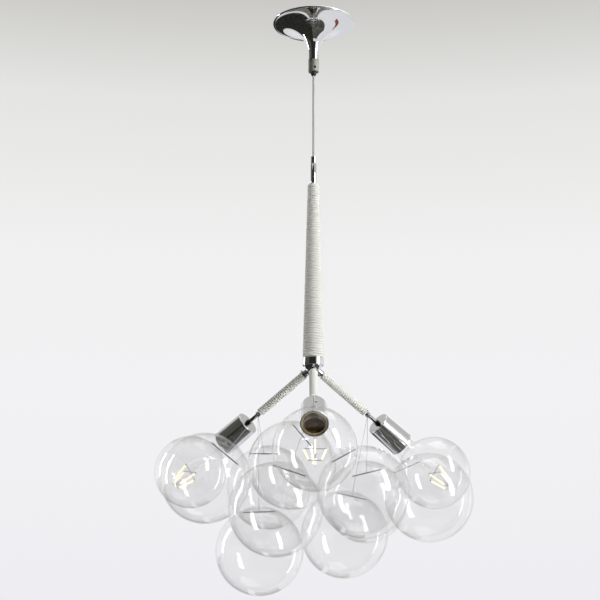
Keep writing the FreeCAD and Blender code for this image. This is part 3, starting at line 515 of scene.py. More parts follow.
# %% Satin nickel and the grip
satin = plated("satin_nickel_turned", "#aeada6", 0.72, 0.8, 12, grit=0.4)
grip = spun("canopy_grip", [
    (5.3, -93.5), (8.7, -93.5), (9.2, -93.0), (9.2, -71.6), (8.9, -71.3), (8.0, -71.3), (8.0, -70.5),
    (7.0, -70.5), (7.0, -62.8), (5.3, -62.8), (5.3, -93.5)])
screw_side = place_at((0, 0, -86.5), (math.cos(math.radians(-75)), math.sin(math.radians(-75)), 0))
bpy.ops.mesh.primitive_cylinder_add(vertices=40, radius=2.1 * MM, depth=16 * MM)
drill = settled(bpy.context.object, screw_side @ Matrix.Translation((0, 0, 8 * MM)))
combined(grip, drill, "DIFFERENCE")
dressed(grip, satin, "canopy_collar")

# %% [markdown]
# ## Black gland
# A moulded polyamide nut screws into the hanging tube and squeezes the cord. It is near black
# with a fine eroded texture from its mould and a soft sheen, and has ribs to turn it by hand.

# %% Gland with ribs
polyamide, tree, output = new_material("moulded_black_polyamide")
grain = object_noise(tree, 1 / (0.35 * MM), 2.0)
tone = ramp_colour(tree, grain, (0.3, "#101011"), (0.75, "#1b1b1c"))
relief = add_node(tree, "Bump", {"Strength": 0.25, "Distance": 0.05 * MM}, {"Height": grain})
shader = add_node(tree, "BsdfPrincipled", {"Roughness": 0.42},
                  {"Base Color": tone, "Normal": relief.outputs["Normal"]})
tree.links.new(shader.outputs[0], output.inputs["Surface"])

gland = spun("cord_gland_nut", [
    (2.05, -100.4), (3.2, -100.4), (3.6, -100.1), (4.4, -98.4), (4.4, -94.2), (4.1, -93.8),
    (3.25, -93.8), (3.25, -83.5), (2.05, -83.5), (2.05, -100.4)])
ribs = [gland]
for i in range(12):
    a = math.radians(30 * i)
    x, y = 4.35 * math.cos(a), 4.35 * math.sin(a)
    ribs.append(bar_between("rib", (x, y, -98.2), (x, y, -94.1), 0.9, sides=8))
gland = joined("cord_gland_nut", ribs)
dressed(gland, polyamide, "cord_gland")

# %% [markdown]
# ## Braided cord
# Rayon yarn is braided over the wires in two sets of strands that cross at forty degrees, pale
# and slightly silky. The real strands are half a millimetre wide, too fine for this picture, so
# they are drawn a little over a millimetre wide. On the wound cord the pattern reads the piece's
# own UV map, measured in millimetres along and round the cord, so it follows the cord wherever
# it bends. The straight cord needs no map: its height and its angle round Z do the same.
# Two sine waves, one for each set of strands, are multiplied: that is the over and under. Where
# the weave's value is low, the tone is drawn a little darker: painted shade between the strands.

# %% Textile finish
def braided(name, source, along, around, base, crevice_shade):
    """Braid from two crossing sets of strands, over two sockets measured in strand widths."""
    material, tree, output = new_material(name)
    place = add_node(tree, "UVMap" if source == "UV" else "TexCoord")
    if source == "UV":
        place.uv_map = "UVMap"
        parts = add_node(tree, "SeparateXYZ", links={"Vector": place.outputs["UV"]})
        run, ring = parts.outputs["X"], parts.outputs["Y"]
    else:
        parts = add_node(tree, "SeparateXYZ", links={"Vector": place.outputs["Object"]})
        turn = add_node(tree, "Math", operation="ARCTAN2",
                        links={0: parts.outputs["Y"], 1: parts.outputs["X"]})
        run, ring = parts.outputs["Z"], turn.outputs[0]
    run = add_node(tree, "Math", {1: along}, {0: run}, operation="MULTIPLY").outputs[0]
    ring = add_node(tree, "Math", {1: around}, {0: ring}, operation="MULTIPLY").outputs[0]
    waves = []
    for operation in ("ADD", "SUBTRACT"):
        sum_of = add_node(tree, "Math", links={0: run, 1: ring}, operation=operation)
        waves.append(add_node(tree, "Math", links={0: sum_of.outputs[0]}, operation="SINE").outputs[0])
    weave = add_node(tree, "Math", links={0: waves[0], 1: waves[1]}, operation="MULTIPLY")
    strand = add_node(tree, "MapRange", {"From Min": -1.0, "From Max": 1.0}, {"Value": weave.outputs[0]})
    soil = add_node(tree, "TexNoise", {"Scale": 1 / (9 * MM), "Detail": 4.0},
                    {"Vector": add_node(tree, "TexCoord").outputs["Object"]})
    # The darker colour at the low end of this ramp is painted shade between the strands.
    tone = ramp_colour(tree, strand.outputs["Result"], (0.0, crevice_shade), (0.55, base))
    worn = add_node(tree, "Mix", {"Factor": 0.12}, data_type="RGBA", blend_type="SOFT_LIGHT",
                    links={"A": tone, "B": soil.outputs["Color"]})
    relief = add_node(tree, "Bump", {"Strength": 0.05, "Distance": 0.1 * MM},
                      {"Height": strand.outputs["Result"]})
    shader = add_node(tree, "BsdfPrincipled",
                      {"Roughness": 0.72, "Sheen Weight": 0.25, "Sheen Roughness": 0.5,
                       "Specular IOR Level": 0.3},
                      {"Base Color": worn.outputs["Result"], "Normal": relief.outputs["Normal"]})
    tree.links.new(shader.outputs[0], output.inputs["Surface"])
    return material


# One strand each way every 1.2 mm along, and ten round the straight cord.
# The straight cord is the same pale cord as the winding, drawn a darker cool grey: painted shade for how
# the thin line shows against the bright sweep.
textile_taut_shaded = braided("braided_cord_taut_painted_shade", "Object", 2 * math.pi / (2.4 * MM), 5.0,
                       "#c4c3c9", "#b2b1b8")
textile = braided("braided_rayon_cord_wound", "UV", 2 * math.pi / 2.4, 2 * math.pi / 2.42,
                  "#f2f2ec", "#e8e7e0")
taut_cord.data.materials.append(textile_taut_shaded)

# %% [markdown]
# ## Ends of the cord
# Inside the canopy the cord runs on up the hanging tube and its three wires turn aside to the
# terminal block. They show when the canopy is lowered, so they are modelled too: a short tail,
# and three wires in the colours that installers know. Each is a curve made into a mesh.

# %% Cord tails and wires
for name, heights in (("cord_upper_tail", (cord_top, -0.05, -0.0106)),
                      ("cord_lower_tail", (cord_foot, -0.2545, -0.2579))):
    tail = meshed(nurbs_line(name, [(0, 0, z) for z in heights], CORD_D, ring=5))
    dressed(tail, textile_taut_shaded, "suspension_cord")

insulation, tree, output = new_material("pvc_wire_insulation")
place = add_node(tree, "TexCoord")
parts = add_node(tree, "SeparateXYZ", links={"Vector": place.outputs["Object"]})
way = add_node(tree, "MapRange", {"From Min": -0.004, "From Max": 0.004}, {"Value": parts.outputs["Y"]})
tone = ramp_colour(tree, way.outputs["Result"], (0.0, "#6b4a30"), (0.4, "#5d8a45"), (0.6, "#3f6fae"))
tone.node.color_ramp.interpolation = "CONSTANT"
shader = add_node(tree, "BsdfPrincipled", {"Roughness": 0.38}, {"Base Color": tone})
tree.links.new(shader.outputs[0], output.inputs["Surface"])
block_low, block_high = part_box("terminal_block")
for name, way in (("brown", -1), ("earth", 0), ("blue", 1)):
    end_x = block_low.x + 5 * MM
    side = way * (block_high.y - block_low.y) / 3
    wire_z = -9.8 * MM
    wire = meshed(nurbs_line("wire_" + name, [
        (0, way * 1.1 * MM, -0.0116), (0, way * 1.1 * MM, wire_z),
        (block_low.x - 3 * MM, side * 0.7, wire_z), (block_low.x - MM, side, wire_z),
        (end_x, side, wire_z)], 1.6 * MM, ring=3, along=6))
    dressed(wire, insulation, "suspension_cord")

# %% [markdown]
# ## Ferrule and swivel
# The cord ends in a small turned ferrule, and a ball under it sits in the top of a short tube,
# so that the stem hangs plumb. Both are plated like the canopy. The line of shadow between them
# is the joint itself.

# %% Ferrule and swivel tube
ferrule = spun("cord_ferrule_turned", [
    (1.65, -262.9), (4.3, -262.9), (5.0, -262.2), (5.0, -259.4), (4.75, -259.15), (4.75, -258.75),
    (5.0, -258.5), (5.0, -251.7), (4.2, -250.9), (2.0, -250.9), (2.0, -257.9), (1.65, -257.9),
    (1.65, -262.9)], steps=64)
dressed(ferrule, chrome, "cord_ferrule")
BALL_SEAT_R = 4.15
swivel = spun("swivel_barrel", [
    (4.05, -299.9), (5.2, -299.9), (5.2, -264.9), (4.95, -264.5), (4.7, -264.4), (2.8, -264.4)]
    + [(BALL_SEAT_R * math.sin(math.radians(a)), -269.1 + BALL_SEAT_R * math.cos(math.radians(a)))
       for a in (44, 70, 100, 130)]
    + [(3.0, -272.0), (3.0, -283.9), (4.05, -283.9), (4.05, -299.9)], steps=64)
dressed(swivel, chrome, "swivel_tube")

# %% [markdown]
# ## Winding on the stem
# The stem is the same cord again, wound turn against turn over a wooden former that widens from
# 21 to 36 mm: 70 turns. It is one long spline with twelve control points to a turn. A spline of
# order 3 cuts inside its control points, by the cosine of half the angle between them, so
# their radius is divided by that to put the cord where the solids have it. The solids keep a
# gap between the turns; here the cord is drawn 0.3 mm thicker, so that the turns close up.

# %% Stem winding
WOUND_D = 4.15
STEM_TURNS, STEM_TOP_R, STEM_FOOT_R = 70, 10.3, 18.2
TURN_POINTS = 12
CUT_IN = math.cos(math.pi / TURN_POINTS)


def wound(name, turns, start_z, end_z, start_r, end_r, tails=0.0):
    """A cord wound round Z: its centre line's radius and height in millimetres, made a mesh."""
    count = round(turns * TURN_POINTS)
    line = []
    for i in range(count + 1):
        share = i / count
        a = 2 * math.pi * turns * share
        r = (start_r + (end_r - start_r) * share) / CUT_IN
        line.append(Vector((r * math.cos(a), r * math.sin(a), start_z + (end_z - start_z) * share)) * MM)
    if tails:
        first, last = (line[0] - line[1]).normalized(), (line[-1] - line[-2]).normalized()
        line = [line[0] + first * tails * MM] + line + [line[-1] + last * tails * MM]
    length = sum((b - a).length for a, b in zip(line, line[1:])) / MM
    piece = meshed(nurbs_line(name, line, WOUND_D * MM, ring=3, along=3))
    for loop in piece.data.uv_layers["UVMap"].data:
        loop.uv = (loop.uv[0] * length, loop.uv[1] * math.pi * WOUND_D)
    print(name, "turns:", turns, "cord, m:", round(length * MM, 2), "faces:", len(piece.data.polygons))
    return piece


stem_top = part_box("stem_wrap")[1].z / MM
stem_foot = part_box("stem_wrap")[0].z / MM
half = WOUND_D / 2
stem_winding = wound("stem_winding", STEM_TURNS, stem_top - half, stem_foot + half,
                     STEM_TOP_R - half, STEM_FOOT_R - half)
dressed(stem_winding, textile, "stem_wrap")

# %% [markdown]
# ## Hub
# One turned and drilled piece: the ring that the winding ends on, a tapered nose, and three
# bosses that point down the arms. The body is spun first, and each boss is a short bar welded on
# with a Boolean, as it would be silver soldered.

# %% Hub with three bosses
HUB_CENTRE = Vector((0, 0, -622.2))
ARMS = {"left": 150.0, "right": 30.0, "front": 270.0}
SLOPE = math.radians(33.8)
BOSS_END = 18.3


def arm_way(arm):
    """The unit vector that points out along an arm, down its slope."""
    a = math.radians(ARMS[arm])
    return Vector((math.cos(SLOPE) * math.cos(a), math.cos(SLOPE) * math.sin(a), -math.sin(SLOPE)))


hub = spun("hub_body", [
    (5.5, -635), (7.1, -635), (7.6, -634.6), (15.0, -620.6), (15.2, -620.0), (17.4, -620.0)]
    + bow((17.4, -619.2), 0.8, -80, 0, 3) + bow((17.4, -607.2), 0.8, 0, 90, 3)
    + [(4.1, -606.4), (4.1, -614.5), (5.5, -614.5), (5.5, -635)], steps=96)
for arm in ARMS:
    boss = spun("boss", [(0, 9), (6, 9), (6, 17.9), (5.6, BOSS_END), (0, BOSS_END)], steps=48)
    combined(hub, settled(boss, place_at(HUB_CENTRE, arm_way(arm))), "UNION")
dressed(hub, chrome, "hub")
button = spun("hub_button", [(0, -639.0), (4.6, -639.0), (5.2, -638.8)]
              + [(6.5 * math.cos(a), -635 - 6.5 * math.sin(a)) for a in (0.6, 0.45, 0.3, 0.15, 0.01)]
              + [(5.45, -635.0), (5.45, -632.0), (0, -632.0)])
dressed(button, chrome, "hub_cap")

# %% [markdown]
# ## Arms
# Each arm is a thin steel tube. The winding covers it from the boss on the hub to a little past
# the point where the glass lines are tied, and there the tube carries a small bead that keeps
# the lines from sliding down the slope. One tube and one winding are modelled upright and
# copied to the three arms. The tube's plating is drawn in a dark grey tint: painted shade for the
# dark things that it mirrors.

# %% Arm tubes
TIE, BEAD_R, TUBE_R, TUBE_BORE_R = 130.0, 4.3, 3.0, 2.0
TUBE_START, TUBE_END = 9.0, 159.5
BEAD_HALF = 3.08  # half the length of the bead along the tube
ARM_TURNS, ARM_PITCH = 24, 4.3
# The dark grey tint is painted shade for the dark things that the tube mirrors.
tube_metal = plated("arm_tube_nickel_painted_shade", "#77777a", 0.12, 0.22, 10)
tube_master = spun("arm_tube", [
    (TUBE_BORE_R, TUBE_START), (TUBE_R, TUBE_START), (TUBE_R, TIE - BEAD_HALF)]
    + bow((0, TIE), BEAD_R, -45, 45, 10)
    + [(TUBE_R, TIE + BEAD_HALF), (TUBE_R, TUBE_END - 0.3), (TUBE_R - 0.3, TUBE_END),
       (TUBE_BORE_R, TUBE_END), (TUBE_BORE_R, TUBE_START)], steps=40)
wrap_radius = TUBE_R + 0.05 + half
wrap_low = BOSS_END + 0.05 + half + 0.55
winding_master = wound("arm_winding", ARM_TURNS, wrap_low, wrap_low + ARM_TURNS * ARM_PITCH,
                       wrap_radius, wrap_radius, tails=WOUND_D)
for arm in ARMS:
    place = place_at(HUB_CENTRE, arm_way(arm))
    node = "arm_tube_" + arm
    dressed(copied(tube_master, node + "_plated", place), tube_metal, node)
    dressed(copied(winding_master, "arm_winding_" + arm, place), textile, "arm_wrap_" + arm)
removed(tube_master, winding_master)

# %% [markdown]
# ## Socket cups
# The cups are drawn from thin sheet and chrome plated: a slightly tapered can with a flat back,
# a rolled edge at its mouth, and a screw in its side. The solids are placed with the lamp's
# centre as the origin and +Z back towards the socket, so the outlines here use the same heights.
# The hole for the side screw is drilled with a Boolean, at the turn that each cup has.

# %% Cups
LAMP_REACH = 295.0
SCREW_HOLE_D, SCREW_Z = 3.1, 118.3
SCREW_TURNS = {"left": -100.0, "right": 100.0, "front": 10.0}


def lamp_place(arm, turn=0.0):
    """The place of a lamp and its cup: the lamp's centre, +Z back towards the socket."""
    return place_at(HUB_CENTRE + arm_way(arm) * LAMP_REACH, -arm_way(arm), turn=turn)


def drilled(piece, low, high):
    """The side screw's hole along +X, between two distances from the piece's axis."""
    bpy.ops.mesh.primitive_cylinder_add(vertices=32, radius=SCREW_HOLE_D / 2 * MM, depth=(high - low) * MM)
    drill = settled(bpy.context.object, place_at(((low + high) / 2, 0, SCREW_Z), (1, 0, 0)))
    combined(piece, drill, "DIFFERENCE")


cup_master = spun("socket_cup", [
    (20.3, 82.2), (20.6, 82.0), (21.6, 82.0)]
    + bow((21.5, 82.7), 0.7, -80, 0, 4) + bow((21.5, 83.3), 0.7, 0, 80, 4)
    + [(21.75, 84.15), (20.56, 139.4)] + bow((19.36, 139.8), 1.2, 5, 90, 5)
    + [(3.05, 141.0), (3.05, 139.5), (19.0, 139.5), (20.3, 82.2)], steps=96)
drilled(cup_master, 16.0, 24.0)

# %% [markdown]
# ## Lampholders
# In each cup sits a body of glazed steatite, a dense ceramic, with a lip that shows as a pale ring
# inside the chrome. Its golden cream is drawn darker than the glaze's own: painted shade for its
# place deep in the cup. The glaze pools smooth and glossy, the body under it is faintly speckled.
# The lamp screws into a brass shell whose thread has a pitch of 3.6 mm.

# %% Glazed steatite and brass
steatite, tree, output = new_material("glazed_steatite")
speck = object_noise(tree, 1 / (1.2 * MM), 4.0)
# Both stops of this ramp are darker than the glaze's own colour: painted shade inside the cup.
tone = ramp_colour(tree, speck, (0.25, "#b09a68"), (0.6, "#cdb98a"))
gloss = add_node(tree, "MapRange", {"To Min": 0.16, "To Max": 0.32}, {"Value": speck})
shader = add_node(tree, "BsdfPrincipled", {"Coat Weight": 0.4, "Coat Roughness": 0.08},
                  {"Base Color": tone, "Roughness": gloss.outputs["Result"]})
tree.links.new(shader.outputs[0], output.inputs["Surface"])
brass = plated("drawn_brass", "#c39a52", 0.12, 0.3, 6)
# The near-black lining at the cup's mouth is painted shade for the dark inside of the cup.
lining_painted_shade = plated("cup_mouth_painted_shade", "#2c2214", 0.3, 0.45, 5)

holder_master = spun("holder_body", [
    (14.15, 114.8), (14.15, 91.0), (16.6, 91.0), (17.3, 90.3), (17.3, 84.9)]
    + bow((18.2, 84.9), 0.9, 180, 270, 4)
    + [(19.6, 84.0), (20.15, 84.5), (19.42, 121.4), (19.1, 121.8), (0, 121.8), (0, 114.8),
       (14.15, 114.8)], steps=80)
drilled(holder_master, 13.5, 24.0)
THREAD_R, THREAD_DEPTH, THREAD_PITCH, THREAD_START = 13.85, 0.2, 3.6, 91.0
thread = [(THREAD_R + THREAD_DEPTH * math.cos(2 * math.pi * (z - THREAD_START) / THREAD_PITCH), z)
          for z in (THREAD_START + 0.6 * i for i in range(39))]
shell_master = spun("thread_shell", thread + [(r - 0.4, z) for r, z in reversed(thread)] + [thread[0]],
                    steps=64)
lining_master = spun("mouth_lining", [
    (17.22, 84.6), (17.22, 90.2), (16.6, 90.9), (13.9, 90.9), (13.9, 90.6), (16.4, 90.6),
    (16.9, 90.1), (16.95, 84.6), (17.22, 84.6)], steps=80)
for arm in ARMS:
    place = lamp_place(arm, SCREW_TURNS[arm])
    dressed(copied(cup_master, "cup_" + arm, place), chrome, "socket_cup_" + arm)
    dressed(copied(holder_master, "holder_" + arm, place), steatite, "lampholders")
    dressed(copied(shell_master, "thread_shell_" + arm, place), brass, "holder_shells")
    dressed(copied(lining_master, "mouth_lining_" + arm, place), lining_painted_shade, "holder_shells")
removed(cup_master, holder_master, shell_master, lining_master)

# %% [markdown]
# ## Clear glass
# Blown glass is nearly invisible in front of a white sweep. What draws it is the edge: there the
# line of sight runs along the wall, through so much glass that it darkens and bends the light
# away, and beside it the wall mirrors the soft boxes. A refracting shader needs very many
# samples for that. This one lets the light straight through with a slight tint, darkens the tint
# at grazing angles, and adds the mirror image by the fourth power of the grazing share. That is
# close to what glass does, and unlike a Fresnel node it treats both sides of a wall alike.

# %% Clear glass
def clear_glass(name, veil, edge, start, ripple):
    """Thin blown glass: clear in front, a veil and an edge tint from a grazing share onwards."""
    material, tree, output = new_material(name)
    grazing = add_node(tree, "LayerWeight", {"Blend": 0.5})
    tone = ramp_colour(tree, grazing.outputs["Facing"],
                       (0.0, "#fefefe"), (start, "#fefefe"), (0.93, veil), (1.0, edge))
    relief = add_node(tree, "Bump", {"Strength": 0.05, "Distance": 0.5 * MM},
                      {"Height": object_noise(tree, 1 / (ripple * MM), 1.0)})
    through = add_node(tree, "BsdfTransparent", links={"Color": tone})
    mirror = add_node(tree, "BsdfAnisotropic", {"Roughness": 0.02, "Color": colour("#ffffff")},
                      {"Normal": relief.outputs["Normal"]})
    steep = add_node(tree, "Math", {1: 4.0}, {0: grazing.outputs["Facing"]}, operation="POWER")
    share = add_node(tree, "MapRange", {"To Min": 0.022, "To Max": 0.5}, {"Value": steep.outputs[0]})
    both = add_node(tree, "MixShader",
                    links={0: share.outputs["Result"], 1: through.outputs[0], 2: mirror.outputs[0]})
    tree.links.new(both.outputs[0], output.inputs["Surface"])
    return material


lamp_glass = clear_glass("blown_lamp_glass", "#f1f1f0", "#8f9092", 0.84, 30)
globe_glass = clear_glass("blown_globe_glass", "#eaebec", "#6a6d6f", 0.85, 40)
scene.cycles.transparent_max_bounces = 64

# %% [markdown]
# ## Lamps
# The envelope is a globe of 125 mm that runs into a neck through a smooth fillet. Its wall is
# under a millimetre. Spinning the outer and the inner outline in one closed chain gives the
# wall its real thickness at once.

# %% Lamp envelopes
LAMP_R, NECK_R, FILLET_R, LAMP_WALL = 62.5, 16.5, 18.0, 0.8


def envelope(inset):
    """The lamp's outline from its far pole to its neck, inset by the wall."""
    radius, neck, fillet = LAMP_R - inset, NECK_R - inset, FILLET_R + inset
    centre = (neck + fillet, math.sqrt((radius + fillet) ** 2 - (neck + fillet) ** 2))
    angle = math.degrees(math.atan2(centre[1], centre[0]))
    return (bow((0, 0), radius, -90, angle, 44) + bow(centre, fillet, 180 + angle, 180, 10)[1:]
            + [(neck, 88.0)])


outer, inner = envelope(0), envelope(LAMP_WALL)
bulb_master = spun("lamp_envelope", [(0, outer[0][1])] + outer[1:] + inner[:0:-1] + [(0, inner[0][1])],
                   steps=96)

# %% [markdown]
# Inside each lamp a glass stem rises from the neck and carries a basket of four long filaments,
# wide at the socket end and narrow at the far end. Each filament is a rod coated with yellow
# phosphor that glows warm white, with a metal tab at both ends, held by fine nickel wires.

# %% Filaments, wires and stem
glow, tree, output = new_material("glowing_phosphor_rod")
tone = ramp_colour(tree, object_noise(tree, 1 / (1.5 * MM), 2.0), (0.3, "#ffe9a6"), (0.7, "#fff6d2"))
shader = add_node(tree, "BsdfPrincipled", {"Roughness": 0.6, "Emission Strength": 1.3},
                  {"Base Color": tone, "Emission Color": tone})
tree.links.new(shader.outputs[0], output.inputs["Surface"])
nickel_wire = plated("drawn_nickel_wire", "#6b6862", 0.25, 0.4, 3)

TOP_R, LOW_R, LOW_Z, STEM_END, TAB = 17.0, 9.0, -36.0, -24.0, 2.5
rods, wires = [], [bar_between("wire", (0, 0, STEM_END - 0.5), (0, 0, LOW_Z), 0.9, 8)]
for i in range(4):
    out = Vector((math.cos(math.pi * i / 2), math.sin(math.pi * i / 2), 0))
    top, low = out * TOP_R, out * LOW_R + Vector((0, 0, LOW_Z))
    run = (low - top).normalized()
    rod_top, rod_low = top + run * TAB, low - run * TAB
    rods.append(bar_between("rod", rod_top, rod_low, 2.2, 12))
    wires += [bar_between("tab", top, rod_top, 1.6, 8), bar_between("tab", rod_low, low, 1.6, 8)]
    wires += [bar_between("wire", (0, 0, 0), top, 0.8, 8), bar_between("wire", (0, 0, LOW_Z), low, 0.8, 8)]
rods_master = joined("filament_rods", rods)
wires_master = joined("support_wires", wires)
stem_master = spun("mount_stem", [
    (0, STEM_END), (1.6, STEM_END + 0.3), (2.25, STEM_END + 1.5), (2.25, 58), (2.6, 64), (4.4, 72),
    (9.0, 82), (12.0, 87.4), (0, 87.4)], steps=40)
# A dark brown disc closes each lamp's neck: painted shade for the dark inside of the cap, seen through the
# glass.
neck_disc_shade = plated("neck_disc_painted_shade", "#6b5330", 0.25, 0.5, 4)
collar_master = spun("neck_collar", [(0, 87.6), (12.6, 87.6), (15.6, 86.4), (15.6, 87.9), (0, 87.9)],
                     steps=64)
for arm in ARMS:
    place = lamp_place(arm)
    held = "lamp_filaments_" + arm
    dressed(copied(bulb_master, "envelope_" + arm, place), lamp_glass, "lamp_bulb_" + arm)
    dressed(copied(rods_master, "filament_rods_" + arm, place), glow, held)
    dressed(copied(wires_master, "support_wires_" + arm, place), nickel_wire, held)
    dressed(copied(stem_master, "mount_stem_" + arm, place), lamp_glass, held)
    dressed(copied(collar_master, "neck_collar_" + arm, place), neck_disc_shade, held)
removed(bulb_master, rods_master, wires_master, stem_master, collar_master)

# %% [markdown]
# ## Glass globes
# Nine blown globes, 145 mm across, each with a small round mouth and a short melted lip. One is
# modelled with its mouth on +Z: a UV sphere is bisected where the mouth begins, the open edge
# is drawn up into the lip, and a Solidify modifier gives the wall its thickness inwards. Copies
# go to the nine places, each with its mouth aimed along its own line at the arm that holds it.

# %% Globe
GLOBE_R, WALL, MOUTH_R, LIP = 72.5, 1.5, 10.0, 2.5
mouth_z = math.sqrt(GLOBE_R ** 2 - (MOUTH_R + WALL) ** 2)
bpy.ops.object.select_all(action="DESELECT")
bpy.ops.mesh.primitive_uv_sphere_add(segments=96, ring_count=64, radius=GLOBE_R * MM)
globe_master = bpy.context.object
globe_master.name = "globe"
bpy.ops.object.mode_set(mode="EDIT")
bpy.ops.mesh.select_all(action="SELECT")
bpy.ops.mesh.bisect(plane_co=(0, 0, mouth_z * MM), plane_no=(0, 0, 1), clear_outer=True)
bpy.ops.mesh.extrude_region_move(TRANSFORM_OT_translate={"value": (0, 0, LIP * 0.5 * MM)})
bpy.ops.mesh.extrude_region_move(TRANSFORM_OT_translate={"value": (0, 0, (LIP * 0.5 + WALL * 0.45) * MM)})
bpy.ops.transform.resize(value=(0.965, 0.965, 1))
bpy.ops.object.mode_set(mode="OBJECT")
wall = globe_master.modifiers.new("wall", "SOLIDIFY")
wall.thickness = WALL * MM
wall.offset = -1
bpy.ops.object.modifier_apply(modifier="wall")
bpy.ops.object.shade_smooth_by_angle(angle=math.radians(50))
print("globe faces:", len(globe_master.data.polygons))

# %% [markdown]
# ## Lines and toggle bars
# A steel bar, much longer than the mouth is wide, lies across it inside the globe, and a nylon
# line tied round its middle runs up to the bead on the arm. It is taut, so it is a straight
# curve with a real length. A knot at each end and a loop round the bead show how it is tied.
# The nylon is clear with a milky core, so the line shows only faintly.

# %% Nylon and bar steel
nylon, tree, output = new_material("clear_nylon_monofilament")
tone = ramp_colour(tree, object_noise(tree, 1 / (2 * MM), 2.0), (0.3, "#d6d8da"), (0.7, "#e6e7e8"))
body = add_node(tree, "BsdfPrincipled", {"Roughness": 0.25}, {"Base Color": tone})
clear = add_node(tree, "BsdfTransparent", {"Color": colour("#f2f3f4")})
half_clear = add_node(tree, "MixShader", {0: 0.55}, {1: clear.outputs[0], 2: body.outputs[0]})
tree.links.new(half_clear.outputs[0], output.inputs["Surface"])
bar_steel = plated("bright_drawn_steel", "#85868a", 0.22, 0.4, 5)

# %% Places of the globes
# globe: arm, centre from the hub's centre in millimetres, turn of its bar in degrees
GLOBES = {
    "left_low": ("left", (-88.0, 32.0, -302.0), 0.0),
    "left_rear": ("left", (-76.0, 125.0, -190.0), -16.0),
    "left_fore": ("left", (-173.5, -52.0, -190.0), 30.0),
    "front_low": ("front", (-59.0, -137.0, -245.0), 0.0),
    "front_inner": ("front", (-35.0, -13.0, -165.0), -56.0),
    "front_side": ("front", (78.0, -96.0, -215.0), -40.0),
    "right_low": ("right", (53.0, 59.0, -273.0), 20.0),
    "right_rear": ("right", (96.0, 184.0, -210.0), 20.0),
    "right_fore": ("right", (190.0, -2.0, -216.0), 14.0),
}
BAR_LENGTH, BAR_D, LINE_D, LOOP_D = 54.0, 2.0, 0.8, 0.6
bar_height = math.sqrt((GLOBE_R - WALL - 0.3) ** 2 - (BAR_LENGTH / 2) ** 2) - BAR_D / 2


def loop_round(radius):
    """A ring of line round Z."""
    bpy.ops.object.select_all(action="DESELECT")
    bpy.ops.mesh.primitive_torus_add(major_radius=radius * MM, minor_radius=LOOP_D / 2 * MM,
                                     major_segments=32, minor_segments=8)
    bpy.ops.object.shade_smooth()
    return bpy.context.object


for name, (arm, offset, turn) in GLOBES.items():
    centre = HUB_CENTRE + Vector(offset)
    tie = HUB_CENTRE + arm_way(arm) * TIE
    up = (tie - centre).normalized()
    place = place_at(centre, up, (1, 0, 0), turn)
    globe = copied(globe_master, "glass_" + name, place_at(centre, up, (1, 0, 0)))
    dressed(globe, globe_glass, "globe_" + name)
    bar = bar_between("bar_" + name, (-BAR_LENGTH / 2, 0, bar_height), (BAR_LENGTH / 2, 0, bar_height),
                      BAR_D, 20)
    low_loop = settled(loop_round(BAR_D / 2 + 0.25), place_at((0, 0, bar_height), (1, 0, 0)))
    for piece in (bar, low_loop):
        only(piece)
        settled(piece, place)
    start = centre + up * (bar_height + BAR_D / 2 + 0.2)
    end = tie - up * (BEAD_R + 0.3)
    knot_high = bar_between("knot", end - up * 1.7, end - up * 0.1, 1.2, 12)
    knot_low = bar_between("knot", start - up * 0.1, start + up * 1.4, 1.7, 12)
    knots = joined("knots_" + name, [low_loop, knot_high, knot_low])
    line_points = [end.lerp(start, share) * MM for share in (0, 0.1, 0.4, 0.6, 0.9, 1)]
    line = nurbs_line("line_" + name, line_points, LINE_D * MM, ring=2)
    for piece, finish in ((bar, bar_steel), (knots, nylon), (line, nylon)):
        dressed(piece, finish, "hanger_" + name)
removed(globe_master)

# %% [markdown]
# Three lines are tied round each bead, side by side. The loops are rings just above the bead's
# surface, each as wide as the bead is at its place along the tube.

# %% Loops on the beads
for arm in ARMS:
    loops = []
    for shift in (-1.3, 0.0, 1.3):
        loop = loop_round(math.sqrt(BEAD_R ** 2 - shift ** 2) + 0.25)
        loops.append(settled(loop, place_at(HUB_CENTRE + arm_way(arm) * (TIE + shift), arm_way(arm))))
    dressed(joined("tie_loops_" + arm, loops), nylon, "arm_tube_" + arm, replace=False)

# %% [markdown]
# ## Fittings that keep their solids
# The ceiling bar, its screws and nuts, the tubes and the lamp caps are plain turned or stamped
# parts that the solids already draw exactly. They only need their finish. Where a node keeps
# its mesh, the material goes into its slots.

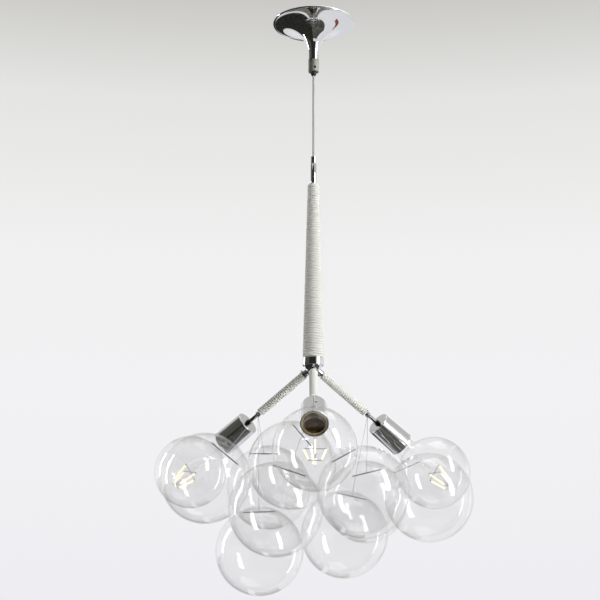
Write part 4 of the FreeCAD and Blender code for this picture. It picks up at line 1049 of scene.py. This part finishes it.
# %% Finishes of the kept solids
zinc = plated("zinc_plated_steel", "#b4b8bd", 0.28, 0.45, 3, grit=0.3)
aluminium = plated("drawn_aluminium_cap", "#c3c3c2", 0.22, 0.36, 5)
black_oxide = plated("blackened_steel", "#2c2c2e", 0.28, 0.42, 3)

beech, tree, output = new_material("whitewashed_beech_former")
place = add_node(tree, "TexCoord")
stretch = add_node(tree, "Mapping", {"Scale": (1.0, 1.0, 0.08)}, {"Vector": place.outputs["Object"]})
fibre = add_node(tree, "TexNoise", {"Scale": 1 / (0.9 * MM), "Detail": 4.0},
                 {"Vector": stretch.outputs[0]})
tone = ramp_colour(tree, fibre.outputs["Fac"], (0.3, "#dfd9ca"), (0.7, "#ece8dc"))
shader = add_node(tree, "BsdfPrincipled", {"Roughness": 0.65}, {"Base Color": tone})
tree.links.new(shader.outputs[0], output.inputs["Surface"])


def moulded(name, dark, light, rough):
    """A moulded plastic with a faint cloud in its colour."""
    material, tree, output = new_material(name)
    tone = ramp_colour(tree, object_noise(tree, 1 / (2 * MM), 2.0), (0.3, dark), (0.7, light))
    shader = add_node(tree, "BsdfPrincipled", {"Roughness": rough}, {"Base Color": tone})
    tree.links.new(shader.outputs[0], output.inputs["Surface"])
    return material


terminal_plastic = moulded("moulded_terminal_polyamide", "#dcdcd6", "#e9e9e4", 0.4)
liner_plastic = moulded("moulded_acetal_liner", "#e4e2da", "#efede6", 0.3)
KEPT = {
    "ceiling_bar": zinc, "bar_nut": zinc, "hanging_tube": zinc, "earth_screw": brass, "stem_tube": zinc,
    "ball_stud": brass, "swivel_liner": liner_plastic, "terminal_block": terminal_plastic,
    "stem_core": beech,
    "lamp_cap_left": aluminium, "lamp_cap_right": aluminium, "lamp_cap_front": aluminium,
    "lock_nuts": black_oxide, "cup_screws": zinc, "collar_screw": black_oxide,
}
for node, finish in KEPT.items():
    for slot in cad_nodes[node].material_slots:
        slot.material = finish
shown = [n for n, piece in cad_nodes.items() if not piece.hide_render]
print("solids still shown:", sorted(shown))
print("without a finish here:", sorted(set(shown) - set(KEPT)))
